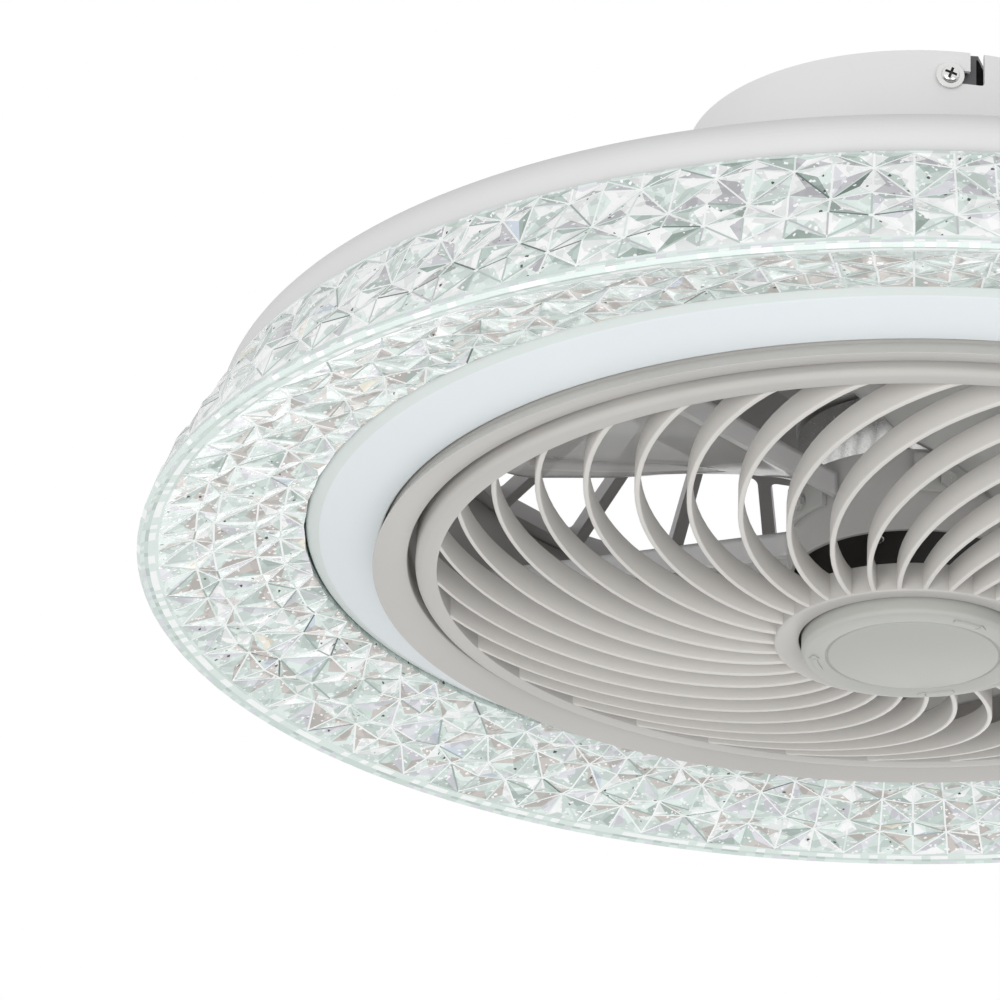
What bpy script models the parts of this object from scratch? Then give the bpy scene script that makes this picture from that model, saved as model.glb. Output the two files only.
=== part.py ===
"""Enclosed ceiling fan: a caged fan inside a ring light with a faceted crystal shade.

Metres, +Z up. The origin is the middle of the bracket's top face, against the ceiling,
and the fan turns about the Z axis. Every level below is worked out downwards from there.
"""
import math

import bmesh
import bpy
from mathutils import Matrix, Vector
from mathutils.geometry import interpolate_bezier

MM = 0.001

# Fits
FIT_GAP = 0.3 * MM            # between pieces that sit on each other
ROUND_GAP = 0.8 * MM          # between round walls with unlike numbers of sides
OVERRUN = 2.0 * MM            # how far a cutter runs past what it cuts
MERGE = 0.001 * MM
CUT_OVERLAP = 0.01 * MM      # how far two cuts of one slot run into each other
SHARP_ANGLE = math.radians(30.0)
RING_SIDES = 40
DRUM_SIDES = 36
MOTOR_SIDES = 30
SHAFT_SIDES = 16
SCREW_SIDES = 6

# Ceiling bracket
STRAP_SHEET = 1.5 * MM
STRAP_WIDTH = 32.0 * MM
TAB_WIDTH = 18.0 * MM
TAB_DROP = 17.0 * MM
BRACKET_AZIMUTH = math.radians(-81.4)
CEILING_SLOT_LENGTH = 22.0 * MM
CEILING_SLOT_WIDTH = 5.0 * MM
CEILING_SLOT_PITCH = 72.0 * MM

# Canopy
CEILING_GAP = 0.5 * MM
CANOPY_RADIUS = 75.5 * MM
CANOPY_HEIGHT = 71.5 * MM
CANOPY_WALL = 1.5 * MM
CABLE_HOLE_RADIUS = 8.0 * MM
SLOT_WIDTH = 4.7 * MM
SLOT_SHIFT = math.radians(6.9)
CANOPY_SCREW_DROP = 9.3 * MM

# Chassis: middle plate, cone of swept windows, outer rim
CHASSIS_SHEET = 2.0 * MM
CHASSIS_PLATE_RADIUS = 98.0 * MM
CHASSIS_RIM_MARGIN = 1.0 * MM
CHASSIS_RIM_WIDTH = 19.5 * MM
GUARD_DROP = 20.0 * MM
GUARD_DEPTH = 6.0 * MM
WINDOW_COUNT = 24
WINDOW_BAR = 5.0 * MM
WINDOW_SWEEP = math.radians(12.0)
WINDOW_MARGIN = 3.5 * MM

# Housing shell
HOUSING_MARGIN = 3.4 * MM
HOUSING_HOLE_MARGIN = 5.5 * MM
HOUSING_WALL = 2.0 * MM
HOUSING_SKIRT = 7.1 * MM
DECK_FALL = 7.0 * MM
SHOULDER_RADIUS = 12.0 * MM
SHOULDER_STEPS = 3

# Light ring: tray, board and diffuser
SHADE_FLANGE = 3.0 * MM
SHADE_FLANGE_MARGIN = 1.7 * MM
TRAY_SHEET = 1.6 * MM
TRAY_LAP = 6.0 * MM
TRAY_SCREW_MARGIN = 5.0 * MM
TRAY_SCREWS = 3
TRAY_SCREW_START = math.radians(30.0)
BOARD_MARGIN = 7.5 * MM
BOARD_WIDTH = 23.0 * MM
BOARD_SHEET = 1.5 * MM
CHIP_SIDE = 3.4 * MM
CHIP_HEIGHT = 0.8 * MM
CHIP_COUNT = 20
DIFFUSER_WIDTH = 22.8 * MM
DIFFUSER_WALL = 1.8 * MM
DIFFUSER_CHAMFER = 3.5 * MM
DIFFUSER_LIP = 5.0 * MM
DIFFUSER_PROUD = 0.9 * MM

# Crystal shade
SHADE_COLUMNS = 62
SHADE_FLARE = 20.8 * MM
SHADE_DROP = 41.1 * MM
SHADE_TOP_EDGE = 2.0 * MM
SHADE_REBATE = 1.2 * MM
SHADE_RIM_BAND = 7.0 * MM
SHADE_WALL = 4.6 * MM
SHADE_SLOPE_SHARE = 0.237
SHADE_RELIEF = 2.8 * MM
SHADE_SCALLOP = 1.8 * MM
# Rows of the side: distance out from the top edge and down from it, as shares of the side
SIDE_ROW_SHARES = ((0.23, 0.197), (0.66, 0.562), (0.855, 0.742))
# Rows of the underside: distance in from the rim band, as shares of the underside
UNDER_ROW_SHARES = (0.245, 0.375, 0.660, 0.834)

# Shroud and bezel
SHROUD_RADIUS = 157.5 * MM
SHROUD_WALL = 1.8 * MM
SHROUD_FOOT = 8.0 * MM
BEZEL_MARGIN = 2.6 * MM
BEZEL_WIDTH = 11.3 * MM
BEZEL_TAPER = 2.7 * MM
BEZEL_SIDE = 4.8 * MM
BEZEL_TILT = 2.6 * MM
BEZEL_RIM_RISE = 1.5 * MM
BEZEL_LEDGE = 1.8 * MM
LEDGE_LAP = 1.1 * MM
HOOK_LENGTH = math.radians(10.0)
HOOK_HEIGHT = 2.2 * MM
HOOK_COUNT = 3
BEZEL_SCREW_START = math.radians(30.0)

# Grille
GRILLE_LAP = 3.0 * MM
GRILLE_RING_WIDTH = 7.0 * MM
GRILLE_RING_HEIGHT = 10.5 * MM
GRILLE_RING_RISE = 1.0 * MM
DOME_DEPTH = 20.8 * MM
DOME_SHARE = 1.6
RIB_COUNT = 34
RIB_STEPS = 5
RIB_SWEEP = math.radians(45.6)
RIB_BOW_SHARE = 0.252
RIB_START = math.radians(-127.6)
RIB_DEPTH = 9.0 * MM
RIB_WALL = 1.8 * MM
HUB_MARGIN = 3.3 * MM
HUB_WALL = 2.0 * MM
HUB_HEIGHT = 9.5 * MM
HUB_LIP = 1.8 * MM

# Hub cap
CAP_RADIUS = 35.9 * MM
CAP_PROUD = 4.3 * MM
CAP_WALL = 1.8 * MM
CAP_RIM_WIDTH = 6.4 * MM
CAP_RECESS = 1.2 * MM
CAP_LUG_REACH = 3.4 * MM
CAP_LUG_LENGTH = math.radians(14.0)
CAP_LUG_HEIGHT = 1.8 * MM
CAP_TWIST = math.radians(20.0)
CAP_LUGS = 3

# Motor and rotor
MOTOR_FLANGE_WIDTH = 11.8 * MM
MOTOR_SHEET = 2.0 * MM
MOTOR_COVER_LAP = 0.6 * MM
MOTOR_COVER_WALL = 1.6 * MM
ROTOR_RADIUS = 37.6 * MM
ROTOR_WALL = 1.6 * MM
ROTOR_HEIGHT = 40.9 * MM
ROTOR_FLOOR = 2.0 * MM
ROTOR_AIR = 2.0 * MM
BOSS_RADIUS = 7.0 * MM
BOSS_HEIGHT = 7.5 * MM
MAGNET_WALL = 2.7 * MM
MAGNET_HEIGHT = 26.0 * MM
STATOR_HEIGHT = 20.0 * MM
STATOR_AIR = 1.0 * MM
STATOR_TEETH = 12
STATOR_RING = 5.0 * MM
TOOTH_WIDTH_SHARE = 0.42
SHOE_WIDTH_SHARE = 0.84
SHOE_HEIGHT = 3.0 * MM
TUBE_RADIUS = 12.2 * MM
BEARING_RADIUS = 8.0 * MM
BEARING_HEIGHT = 6.0 * MM
SHAFT_RADIUS = 3.0 * MM
COLLAR_RADIUS = 5.0 * MM
COLLAR_HEIGHT = 1.6 * MM

# Blade hub and blades
BLADE_COUNT = 5
BLADE_HUB_MARGIN = 0.9 * MM
BLADE_HUB_WALL = 1.8 * MM
BLADE_HUB_HEIGHT = 27.8 * MM
BLADE_HUB_RECESS = 5.8 * MM
BLADE_HUB_RISE = 13.5 * MM
BLADE_TIP_AIR = 8.5 * MM
BLADE_START = math.radians(-126.0)
BLADE_SPAN = math.radians(58.0)
BLADE_PITCH_RISE = 26.0 * MM
BLADE_WALL = 1.8 * MM
BLADE_LIP = 9.0 * MM
BLADE_CAMBER_SHARE = 0.8
BLADE_GRILLE_AIR = 4.0 * MM
BLADE_STEPS = 4
BLADE_FOOT_WALL = 2.0 * MM
BLADE_FOOT_HEIGHT = 13.0 * MM
# Length of the blade at each station from root to tip, as shares of its span
BLADE_LENGTH_SHARES = (0.74, 0.90, 1.0, 0.98, 0.80)

# Fasteners
SCREW_RADIUS = 1.5 * MM
SCREW_HEAD_RADIUS = 2.9 * MM
SCREW_HEAD = 1.6 * MM
CANOPY_SCREW_RADIUS = 2.0 * MM
CANOPY_SCREW_HEAD_RADIUS = 3.0 * MM
CANOPY_SCREW_FLANGE_RADIUS = 4.6 * MM
CANOPY_SCREW_FLANGE = 0.8 * MM
CANOPY_SCREW_LENGTH = 9.0 * MM
CROSS_WIDTH = 1.0 * MM
CROSS_LENGTH = 4.0 * MM
CROSS_DEPTH = 1.2 * MM
BOSS_WALL = 2.4 * MM
BASE_SCREW_MARGIN = 8.0 * MM
BASE_SCREWS = 3
BASE_SCREW_START = math.radians(90.0)
MOTOR_SCREW_MARGIN = 6.3 * MM
MOTOR_SCREWS = 3
HUB_SCREW_RADIUS = 24.0 * MM
HUB_SCREWS = 3

# Electronics inside the canopy: length, width, height
DRIVER_SIZE = (70.0 * MM, 32.0 * MM, 26.0 * MM)
DRIVER_OFFSET = -30.0 * MM
RECEIVER_SIZE = (58.0 * MM, 26.0 * MM, 20.0 * MM)
RECEIVER_OFFSET = 26.0 * MM
TERMINAL_SIZE = (12.0 * MM, 20.0 * MM, 15.0 * MM)
TERMINAL_OFFSET = 50.0 * MM
TERMINAL_WAYS = 3
TERMINAL_HOLE = 2.2 * MM
BOX_BEVEL = 1.2 * MM
LEAD_RADIUS = 1.5 * MM
LEAD_STEPS = 9

# Radii, from the air duct out to the crystal and in to the motor
GRILLE_RING_RADIUS = SHROUD_RADIUS + GRILLE_LAP
GRILLE_MOUTH_RADIUS = GRILLE_RING_RADIUS - GRILLE_RING_WIDTH
LEDGE_INNER_RADIUS = SHROUD_RADIUS - LEDGE_LAP
BEZEL_INNER_RADIUS = GRILLE_RING_RADIUS + BEZEL_MARGIN
BEZEL_RADIUS = BEZEL_INNER_RADIUS + BEZEL_WIDTH
DIFFUSER_INNER_RADIUS = BEZEL_RADIUS - BEZEL_TAPER + ROUND_GAP
DIFFUSER_LIP_RADIUS = DIFFUSER_INNER_RADIUS + DIFFUSER_WIDTH
BOARD_INNER_RADIUS = DIFFUSER_INNER_RADIUS + BOARD_MARGIN
BOARD_RADIUS = BOARD_INNER_RADIUS + BOARD_WIDTH
TRAY_SCREW_RADIUS = BOARD_RADIUS + TRAY_SCREW_MARGIN
DIFFUSER_RADIUS = TRAY_SCREW_RADIUS + SCREW_HEAD_RADIUS + ROUND_GAP + 2 * DIFFUSER_WALL
SHADE_FLANGE_RADIUS = DIFFUSER_RADIUS + SHADE_FLANGE_MARGIN
TRAY_RADIUS = SHADE_FLANGE_RADIUS + TRAY_LAP
HOUSING_RADIUS = TRAY_RADIUS + HOUSING_MARGIN
SHADE_INNER_RADIUS = DIFFUSER_LIP_RADIUS + ROUND_GAP + FIT_GAP
SHADE_TOP_RADIUS = HOUSING_RADIUS + ROUND_GAP + SHADE_TOP_EDGE
SHADE_RADIUS = SHADE_TOP_RADIUS + SHADE_FLARE
CHASSIS_RIM_INNER_RADIUS = SHROUD_RADIUS + CHASSIS_RIM_MARGIN
CHASSIS_RADIUS = CHASSIS_RIM_INNER_RADIUS + CHASSIS_RIM_WIDTH
HOUSING_HOLE_RADIUS = CHASSIS_RIM_INNER_RADIUS + HOUSING_HOLE_MARGIN
BASE_SCREW_RADIUS = CANOPY_RADIUS - BASE_SCREW_MARGIN
CAP_DISC_RADIUS = CAP_RADIUS - CAP_RIM_WIDTH
HUB_RADIUS = CAP_RADIUS + CAP_LUG_REACH + HUB_MARGIN + HUB_WALL
MOTOR_COVER_RADIUS = ROTOR_RADIUS + MOTOR_COVER_LAP
MOTOR_FLANGE_RADIUS = MOTOR_COVER_RADIUS + MOTOR_FLANGE_WIDTH
MOTOR_SCREW_RADIUS = MOTOR_COVER_RADIUS + MOTOR_SCREW_MARGIN
BLADE_HUB_RADIUS = ROTOR_RADIUS + BLADE_HUB_MARGIN + BLADE_HUB_WALL
BLADE_TIP_RADIUS = SHROUD_RADIUS - BLADE_TIP_AIR

# Levels, from the ceiling down
CANOPY_TOP_Z = -CEILING_GAP
CANOPY_FLOOR_Z = CANOPY_TOP_Z - CANOPY_HEIGHT
CANOPY_SCREW_Z = CANOPY_TOP_Z - CANOPY_SCREW_DROP
CHASSIS_TOP_Z = CANOPY_FLOOR_Z - FIT_GAP
CHASSIS_UNDER_Z = CHASSIS_TOP_Z - CHASSIS_SHEET
CHASSIS_RIM_Z = CHASSIS_TOP_Z - GUARD_DROP
CHASSIS_RIM_UNDER_Z = CHASSIS_RIM_Z - CHASSIS_SHEET
DECK_Z = CHASSIS_RIM_Z + FIT_GAP + HOUSING_WALL
SHOULDER_Z = DECK_Z - DECK_FALL
HOUSING_LIP_Z = SHOULDER_Z - SHOULDER_RADIUS - HOUSING_SKIRT
SHADE_SEAT_Z = HOUSING_LIP_Z - FIT_GAP
TRAY_TOP_Z = SHADE_SEAT_Z - SHADE_FLANGE - FIT_GAP
TRAY_UNDER_Z = TRAY_TOP_Z - TRAY_SHEET
SHADE_TOP_Z = SHADE_SEAT_Z + SHADE_REBATE
RIM_Z = SHADE_TOP_Z - SHADE_DROP
BEZEL_RIM_Z = RIM_Z + BEZEL_RIM_RISE
BEZEL_INNER_Z = BEZEL_RIM_Z + BEZEL_TILT
GRILLE_Z = RIM_Z + GRILLE_RING_RISE
GRILLE_TOP_Z = GRILLE_Z + GRILLE_RING_HEIGHT
LEDGE_UNDER_Z = GRILLE_TOP_Z + FIT_GAP + SCREW_HEAD + FIT_GAP
LEDGE_TOP_Z = LEDGE_UNDER_Z + BEZEL_LEDGE
HUB_Z = GRILLE_Z - DOME_DEPTH
HUB_TOP_Z = HUB_Z + HUB_HEIGHT
CAP_Z = HUB_Z - CAP_PROUD
CAP_LUG_Z = HUB_Z + HUB_LIP + FIT_GAP
BLADE_Z = GRILLE_TOP_Z + BLADE_GRILLE_AIR
BLADE_HUB_Z = HUB_TOP_Z + BLADE_HUB_RISE
ROTOR_Z = BLADE_HUB_Z + BLADE_HUB_RECESS + BLADE_HUB_WALL + FIT_GAP
ROTOR_TOP_Z = ROTOR_Z + ROTOR_HEIGHT
MOTOR_TOP_Z = CHASSIS_UNDER_Z - FIT_GAP
LOWER_BEARING_Z = ROTOR_Z + ROTOR_FLOOR + BOSS_HEIGHT + FIT_GAP
TUBE_END_Z = LOWER_BEARING_Z + FIT_GAP
COVER_Z = ROTOR_TOP_Z + ROTOR_AIR
UPPER_BEARING_Z = COVER_Z - BEARING_HEIGHT


def clear_scene():
    for thing in list(bpy.data.objects):
        bpy.data.objects.remove(thing)


def finish(name, colour, roughness, metallic=0.0, transmission=0.0, alpha=1.0):
    """A plain shader with the piece's own colour and gloss."""
    material = bpy.data.materials.new(name)
    material.use_nodes = True
    shader = material.node_tree.nodes["Principled BSDF"]
    shader.inputs["Base Color"].default_value = (*colour, 1.0)
    shader.inputs["Roughness"].default_value = roughness
    shader.inputs["Metallic"].default_value = metallic
    shader.inputs["Transmission Weight"].default_value = transmission
    shader.inputs["Alpha"].default_value = alpha
    material.diffuse_color = (*colour, alpha)
    return material


def piece(name, bm, material, parent=None):
    """Turn a finished bmesh into a named object with outward faces."""
    bmesh.ops.remove_doubles(bm, verts=bm.verts, dist=MERGE)
    bmesh.ops.recalc_face_normals(bm, faces=bm.faces)
    mesh = bpy.data.meshes.new(name)
    bm.to_mesh(mesh)
    bm.free()
    if material:
        mesh.materials.append(material)
    mesh.shade_smooth()
    mesh.set_sharp_from_angle(angle=SHARP_ANGLE)
    thing = bpy.data.objects.new(name, mesh)
    thing.parent = parent
    bpy.context.scene.collection.objects.link(thing)
    return thing


def boolean(target, tool, operation):
    """Cut or weld a hidden tool body into a piece."""
    tool.hide_render = True
    tool.display_type = "WIRE"
    modifier = target.modifiers.new(tool.name, "BOOLEAN")
    modifier.operation = operation
    modifier.solver = "EXACT"
    modifier.object = tool


def cut(target, name, bm):
    boolean(target, piece(name, bm, None), "DIFFERENCE")


def weld(target, name, bm):
    boolean(target, piece(name, bm, None), "UNION")


def axis_empty(name, z):
    """A joint's axis: pieces that turn together hang on one empty."""
    empty = bpy.data.objects.new(name, None)
    empty.location = (0, 0, z)
    bpy.context.scene.collection.objects.link(empty)
    bpy.context.view_layer.update()
    return empty


def add_turned(bm, outline, sides):
    """Spin an outline of (radius, level) points about Z; it may start and end on the axis."""
    verts = [bm.verts.new((radius, 0, z)) for radius, z in outline]
    pairs = list(zip(verts, verts[1:]))
    if outline[0][0] > 0:
        pairs.append((verts[-1], verts[0]))
    edges = [bm.edges.new(pair) for pair in pairs]
    bmesh.ops.spin(bm, geom=verts + edges, cent=(0, 0, 0), axis=(0, 0, 1),
                   angle=2 * math.pi, steps=sides, use_merge=True)
    bmesh.ops.remove_doubles(bm, verts=bm.verts, dist=MERGE)


def turned(name, outline, sides, material, parent=None):
    bm = bmesh.new()
    add_turned(bm, outline, sides)
    return piece(name, bm, material, parent)


def add_prism(bm, outline, low, high, turn=None):
    """Extrude a flat outline of (x, y) points from one level to another."""
    face = bm.faces.new([bm.verts.new((x, y, low)) for x, y in outline])
    made = bmesh.ops.extrude_face_region(bm, geom=[face])["geom"]
    raised = [item for item in made if isinstance(item, bmesh.types.BMVert)]
    bmesh.ops.translate(bm, verts=raised, vec=(0, 0, high - low))
    if turn is not None:
        bmesh.ops.transform(bm, matrix=turn, verts=list(face.verts) + raised)


def add_box(bm, size, centre, turn=None):
    half_x, half_y, half_z = (value / 2 for value in size)
    outline = ((-half_x, -half_y), (half_x, -half_y), (half_x, half_y), (-half_x, half_y))
    place = Matrix.Translation(centre)
    if turn is not None:
        place = turn @ place
    add_prism(bm, outline, -half_z, half_z, place)


def circle(radius, sides, x=0.0, y=0.0):
    turns = (2 * math.pi * k / sides for k in range(sides))
    return [(x + radius * math.cos(a), y + radius * math.sin(a)) for a in turns]


def arc_band(inner, outer, start, end, steps):
    """Outline of a curved bar between two radii and two azimuths."""
    turns = [start + (end - start) * k / steps for k in range(steps + 1)]
    outside = [(outer * math.cos(a), outer * math.sin(a)) for a in turns]
    inside = [(inner * math.cos(a), inner * math.sin(a)) for a in reversed(turns)]
    return outside + inside


def polar(radius, azimuth, z=0.0):
    return Vector((radius * math.cos(azimuth), radius * math.sin(azimuth), z))


def around(count, start=0.0):
    return [start + 2 * math.pi * k / count for k in range(count)]


def screw_outline(radius, head_radius, head, length):
    """Half outline of a round-headed screw: head below level zero, shank above."""
    return [(0, -head), (head_radius, -head), (head_radius, 0), (radius, 0),
            (radius, length), (0, length)]


def screw(name, place, length, parent=None):
    outline = screw_outline(SCREW_RADIUS, SCREW_HEAD_RADIUS, SCREW_HEAD, length)
    thing = turned(name, outline, SCREW_SIDES, STEEL, parent)
    if parent is not None:
        place = Matrix.Translation(parent.location).inverted() @ place
    thing.matrix_local = place
    return thing


def screw_holes(bm, places, low, high):
    """Clearance holes for the common screw at each (x, y)."""
    for x, y in places:
        add_prism(bm, circle(SCREW_RADIUS + FIT_GAP, SCREW_SIDES, x, y), low, high)


def base_screw_places():
    return [polar(BASE_SCREW_RADIUS, a)[:2] for a in around(BASE_SCREWS, BASE_SCREW_START)]


def motor_screw_places():
    return [polar(MOTOR_SCREW_RADIUS, a)[:2] for a in around(MOTOR_SCREWS)]


def ceiling_bracket():
    """Steel strap on the ceiling with an end tab behind each canopy screw."""
    reach = math.sqrt((CANOPY_RADIUS - CANOPY_WALL - ROUND_GAP) ** 2 - (TAB_WIDTH / 2) ** 2)
    turn = Matrix.Rotation(BRACKET_AZIMUTH, 4, "Z")
    shoulder = reach - STRAP_WIDTH / 2
    end = reach - STRAP_SHEET / 2
    half = (TAB_WIDTH + STRAP_SHEET) / 2
    outline = [(-end, -half), (-shoulder, -STRAP_WIDTH / 2), (shoulder, -STRAP_WIDTH / 2),
               (end, -half), (end, half), (shoulder, STRAP_WIDTH / 2),
               (-shoulder, STRAP_WIDTH / 2), (-end, half)]
    bm = bmesh.new()
    add_prism(bm, outline, -STRAP_SHEET, 0, turn)
    bracket = piece("ceiling_bracket", bm, ZINC)
    tabs = bmesh.new()
    for side in (-1, 1):
        size = (STRAP_SHEET, TAB_WIDTH, TAB_DROP - STRAP_SHEET / 2)
        centre = (side * (reach - STRAP_SHEET / 2), 0, -(TAB_DROP + STRAP_SHEET / 2) / 2)
        add_box(tabs, size, centre, turn)
    weld(bracket, "bracket_tabs", tabs)
    holes = bmesh.new()
    for side in (-1, 1):
        size = (CEILING_SLOT_LENGTH, CEILING_SLOT_WIDTH, STRAP_SHEET + 2 * OVERRUN)
        add_box(holes, size, (side * CEILING_SLOT_PITCH / 2, 0, -STRAP_SHEET / 2), turn)
        hole = circle(CANOPY_SCREW_RADIUS + FIT_GAP, SCREW_SIDES)
        side_turn = Matrix.Rotation(BRACKET_AZIMUTH + (side < 0) * math.pi, 4, "Z")
        level = Matrix.Translation((0, 0, CANOPY_SCREW_Z))
        along = side_turn @ level @ Matrix.Rotation(math.pi / 2, 4, "Y")
        add_prism(holes, hole, reach - STRAP_SHEET - OVERRUN, reach + OVERRUN, along)
    cut(bracket, "bracket_holes", holes)


def canopy():
    """Drum that hides the bracket, with an L-shaped slot for each side screw."""
    inner = CANOPY_RADIUS - CANOPY_WALL
    floor_top = CANOPY_FLOOR_Z + CANOPY_WALL
    outline = [(CABLE_HOLE_RADIUS, CANOPY_FLOOR_Z), (CANOPY_RADIUS, CANOPY_FLOOR_Z),
               (CANOPY_RADIUS, CANOPY_TOP_Z), (inner, CANOPY_TOP_Z), (inner, floor_top),
               (CABLE_HOLE_RADIUS, floor_top)]
    drum = turned("canopy", outline, DRUM_SIDES, WHITE_PAINT)
    cutter = bmesh.new()
    inside = inner - OVERRUN
    outside = CANOPY_RADIUS + OVERRUN
    half = SLOT_WIDTH / 2
    spread = half / CANOPY_RADIUS
    for azimuth in (BRACKET_AZIMUTH, BRACKET_AZIMUTH + math.pi):
        slot = azimuth + SLOT_SHIFT
        upright = arc_band(inside, outside, slot - spread, slot + spread, 1)
        add_prism(cutter, upright, CANOPY_SCREW_Z + half, CANOPY_TOP_Z + OVERRUN)
    cut(drum, "canopy_slots", cutter)
    feet = bmesh.new()
    for azimuth in (BRACKET_AZIMUTH, BRACKET_AZIMUTH + math.pi):
        slot = azimuth + SLOT_SHIFT
        foot = arc_band(inside, outside, azimuth - spread, slot + spread, 2)
        add_prism(feet, foot, CANOPY_SCREW_Z - half, CANOPY_SCREW_Z + half + CUT_OVERLAP)
    cut(drum, "canopy_slot_feet", feet)
    holes = bmesh.new()
    screw_holes(holes, base_screw_places(), CANOPY_FLOOR_Z - OVERRUN, floor_top + OVERRUN)
    cut(drum, "canopy_floor_holes", holes)


def canopy_screws():
    """Two flanged cross-head screws that hold the canopy on the bracket."""
    outline = [(0, -CANOPY_SCREW_FLANGE - SCREW_HEAD),
               (CANOPY_SCREW_HEAD_RADIUS, -CANOPY_SCREW_FLANGE - SCREW_HEAD),
               (CANOPY_SCREW_HEAD_RADIUS, -CANOPY_SCREW_FLANGE),
               (CANOPY_SCREW_FLANGE_RADIUS, -CANOPY_SCREW_FLANGE),
               (CANOPY_SCREW_FLANGE_RADIUS, 0), (CANOPY_SCREW_RADIUS, 0),
               (CANOPY_SCREW_RADIUS, CANOPY_SCREW_LENGTH), (0, CANOPY_SCREW_LENGTH)]
    for number, azimuth in enumerate((BRACKET_AZIMUTH, BRACKET_AZIMUTH + math.pi), 1):
        name = f"canopy_screw_{number}"
        thing = turned(name, outline, SHAFT_SIDES, STEEL)
        cross = bmesh.new()
        level = -CANOPY_SCREW_FLANGE - SCREW_HEAD
        depth = 2 * CROSS_DEPTH
        add_box(cross, (CROSS_LENGTH, CROSS_WIDTH, depth), (0, 0, level))
        bar = piece(f"{name}_cross_1", cross, None, thing)
        boolean(thing, bar, "DIFFERENCE")
        cross = bmesh.new()
        add_box(cross, (CROSS_WIDTH, CROSS_LENGTH, depth), (0, 0, level))
        bar = piece(f"{name}_cross_2", cross, None, thing)
        boolean(thing, bar, "DIFFERENCE")
        place = Matrix.Translation(polar(CANOPY_RADIUS + FIT_GAP, azimuth, CANOPY_SCREW_Z))
        inward = Matrix.Rotation(azimuth, 4, "Z") @ Matrix.Rotation(-math.pi / 2, 4, "Y")
        thing.matrix_local = place @ inward


def chassis():
    """Pressed plate that carries everything: middle plate, windowed cone and rim."""
    plate = CHASSIS_PLATE_RADIUS
    rim = CHASSIS_RIM_INNER_RADIUS
    outline = [(CABLE_HOLE_RADIUS, CHASSIS_UNDER_Z), (plate, CHASSIS_UNDER_Z),
               (plate, CHASSIS_TOP_Z - GUARD_DEPTH), (rim, CHASSIS_RIM_Z - GUARD_DEPTH),
               (rim, CHASSIS_RIM_UNDER_Z), (CHASSIS_RADIUS, CHASSIS_RIM_UNDER_Z),
               (CHASSIS_RADIUS, CHASSIS_RIM_Z), (rim, CHASSIS_RIM_Z),
               (plate, CHASSIS_TOP_Z), (CABLE_HOLE_RADIUS, CHASSIS_TOP_Z)]
    body = turned("chassis_plate", outline, DRUM_SIDES, GREY_STEEL)
    windows = bmesh.new()
    inner = plate + WINDOW_MARGIN
    outer = rim - WINDOW_MARGIN
    pitch = math.pi / WINDOW_COUNT
    for middle in around(WINDOW_COUNT, pitch):
        inner_half = pitch - WINDOW_BAR / 2 / inner
        outer_half = pitch - WINDOW_BAR / 2 / outer
        outline = [polar(inner, middle - inner_half)[:2], polar(inner, middle + inner_half)[:2],
                   polar(outer, middle - WINDOW_SWEEP + outer_half)[:2],
                   polar(outer, middle - WINDOW_SWEEP - outer_half)[:2]]
        add_prism(windows, outline, CHASSIS_RIM_Z - GUARD_DEPTH - OVERRUN, CHASSIS_TOP_Z + OVERRUN)
    cut(body, "chassis_windows", windows)
    holes = bmesh.new()
    places = base_screw_places() + motor_screw_places()
    screw_holes(holes, places, CHASSIS_UNDER_Z - OVERRUN, CHASSIS_TOP_Z + OVERRUN)
    cut(body, "chassis_holes", holes)


def deck_under(radius):
    """Level of the housing deck's underside at a radius on its slope."""
    start = CHASSIS_RADIUS + FIT_GAP
    share = (radius - start) / (HOUSING_RADIUS - SHOULDER_RADIUS - start)
    return DECK_Z - HOUSING_WALL - DECK_FALL * share


def housing_shell():
    """White outer shell with a rounded shoulder, on the chassis rim."""
    middle = HOUSING_RADIUS - SHOULDER_RADIUS
    centre = SHOULDER_Z - SHOULDER_RADIUS
    seat = CHASSIS_RADIUS + FIT_GAP
    inner_bend = SHOULDER_RADIUS - HOUSING_WALL
    outline = [(HOUSING_HOLE_RADIUS, DECK_Z - HOUSING_WALL), (HOUSING_HOLE_RADIUS, DECK_Z),
               (seat, DECK_Z)]
    for step in range(SHOULDER_STEPS + 1):
        turn = math.pi / 2 * (1 - step / SHOULDER_STEPS)
        outline.append((middle + SHOULDER_RADIUS * math.cos(turn),
                        centre + SHOULDER_RADIUS * math.sin(turn)))
    outline += [(HOUSING_RADIUS, HOUSING_LIP_Z), (HOUSING_RADIUS - HOUSING_WALL, HOUSING_LIP_Z)]
    for step in range(SHOULDER_STEPS - 1):
        turn = math.pi / 2 * step / (SHOULDER_STEPS - 2)
        outline.append((middle + inner_bend * math.cos(turn), centre + inner_bend * math.sin(turn)))
    outline.append((seat, DECK_Z - HOUSING_WALL))
    shell = turned("housing_shell", outline, RING_SIDES, WHITE_PAINT)
    bosses = bmesh.new()
    holes = bmesh.new()
    top = deck_under(TRAY_SCREW_RADIUS) + HOUSING_WALL / 2
    for azimuth in around(TRAY_SCREWS, TRAY_SCREW_START):
        x, y = polar(TRAY_SCREW_RADIUS, azimuth)[:2]
        outline = circle(SCREW_RADIUS + FIT_GAP + BOSS_WALL, SCREW_SIDES, x, y)
        add_prism(bosses, outline, TRAY_TOP_Z + FIT_GAP, top)
        hole = circle(SCREW_RADIUS + FIT_GAP, SCREW_SIDES, x, y)
        add_prism(holes, hole, TRAY_TOP_Z - OVERRUN, top - HOUSING_WALL)
    weld(shell, "housing_bosses", bosses)
    cut(shell, "housing_boss_holes", holes)


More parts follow.
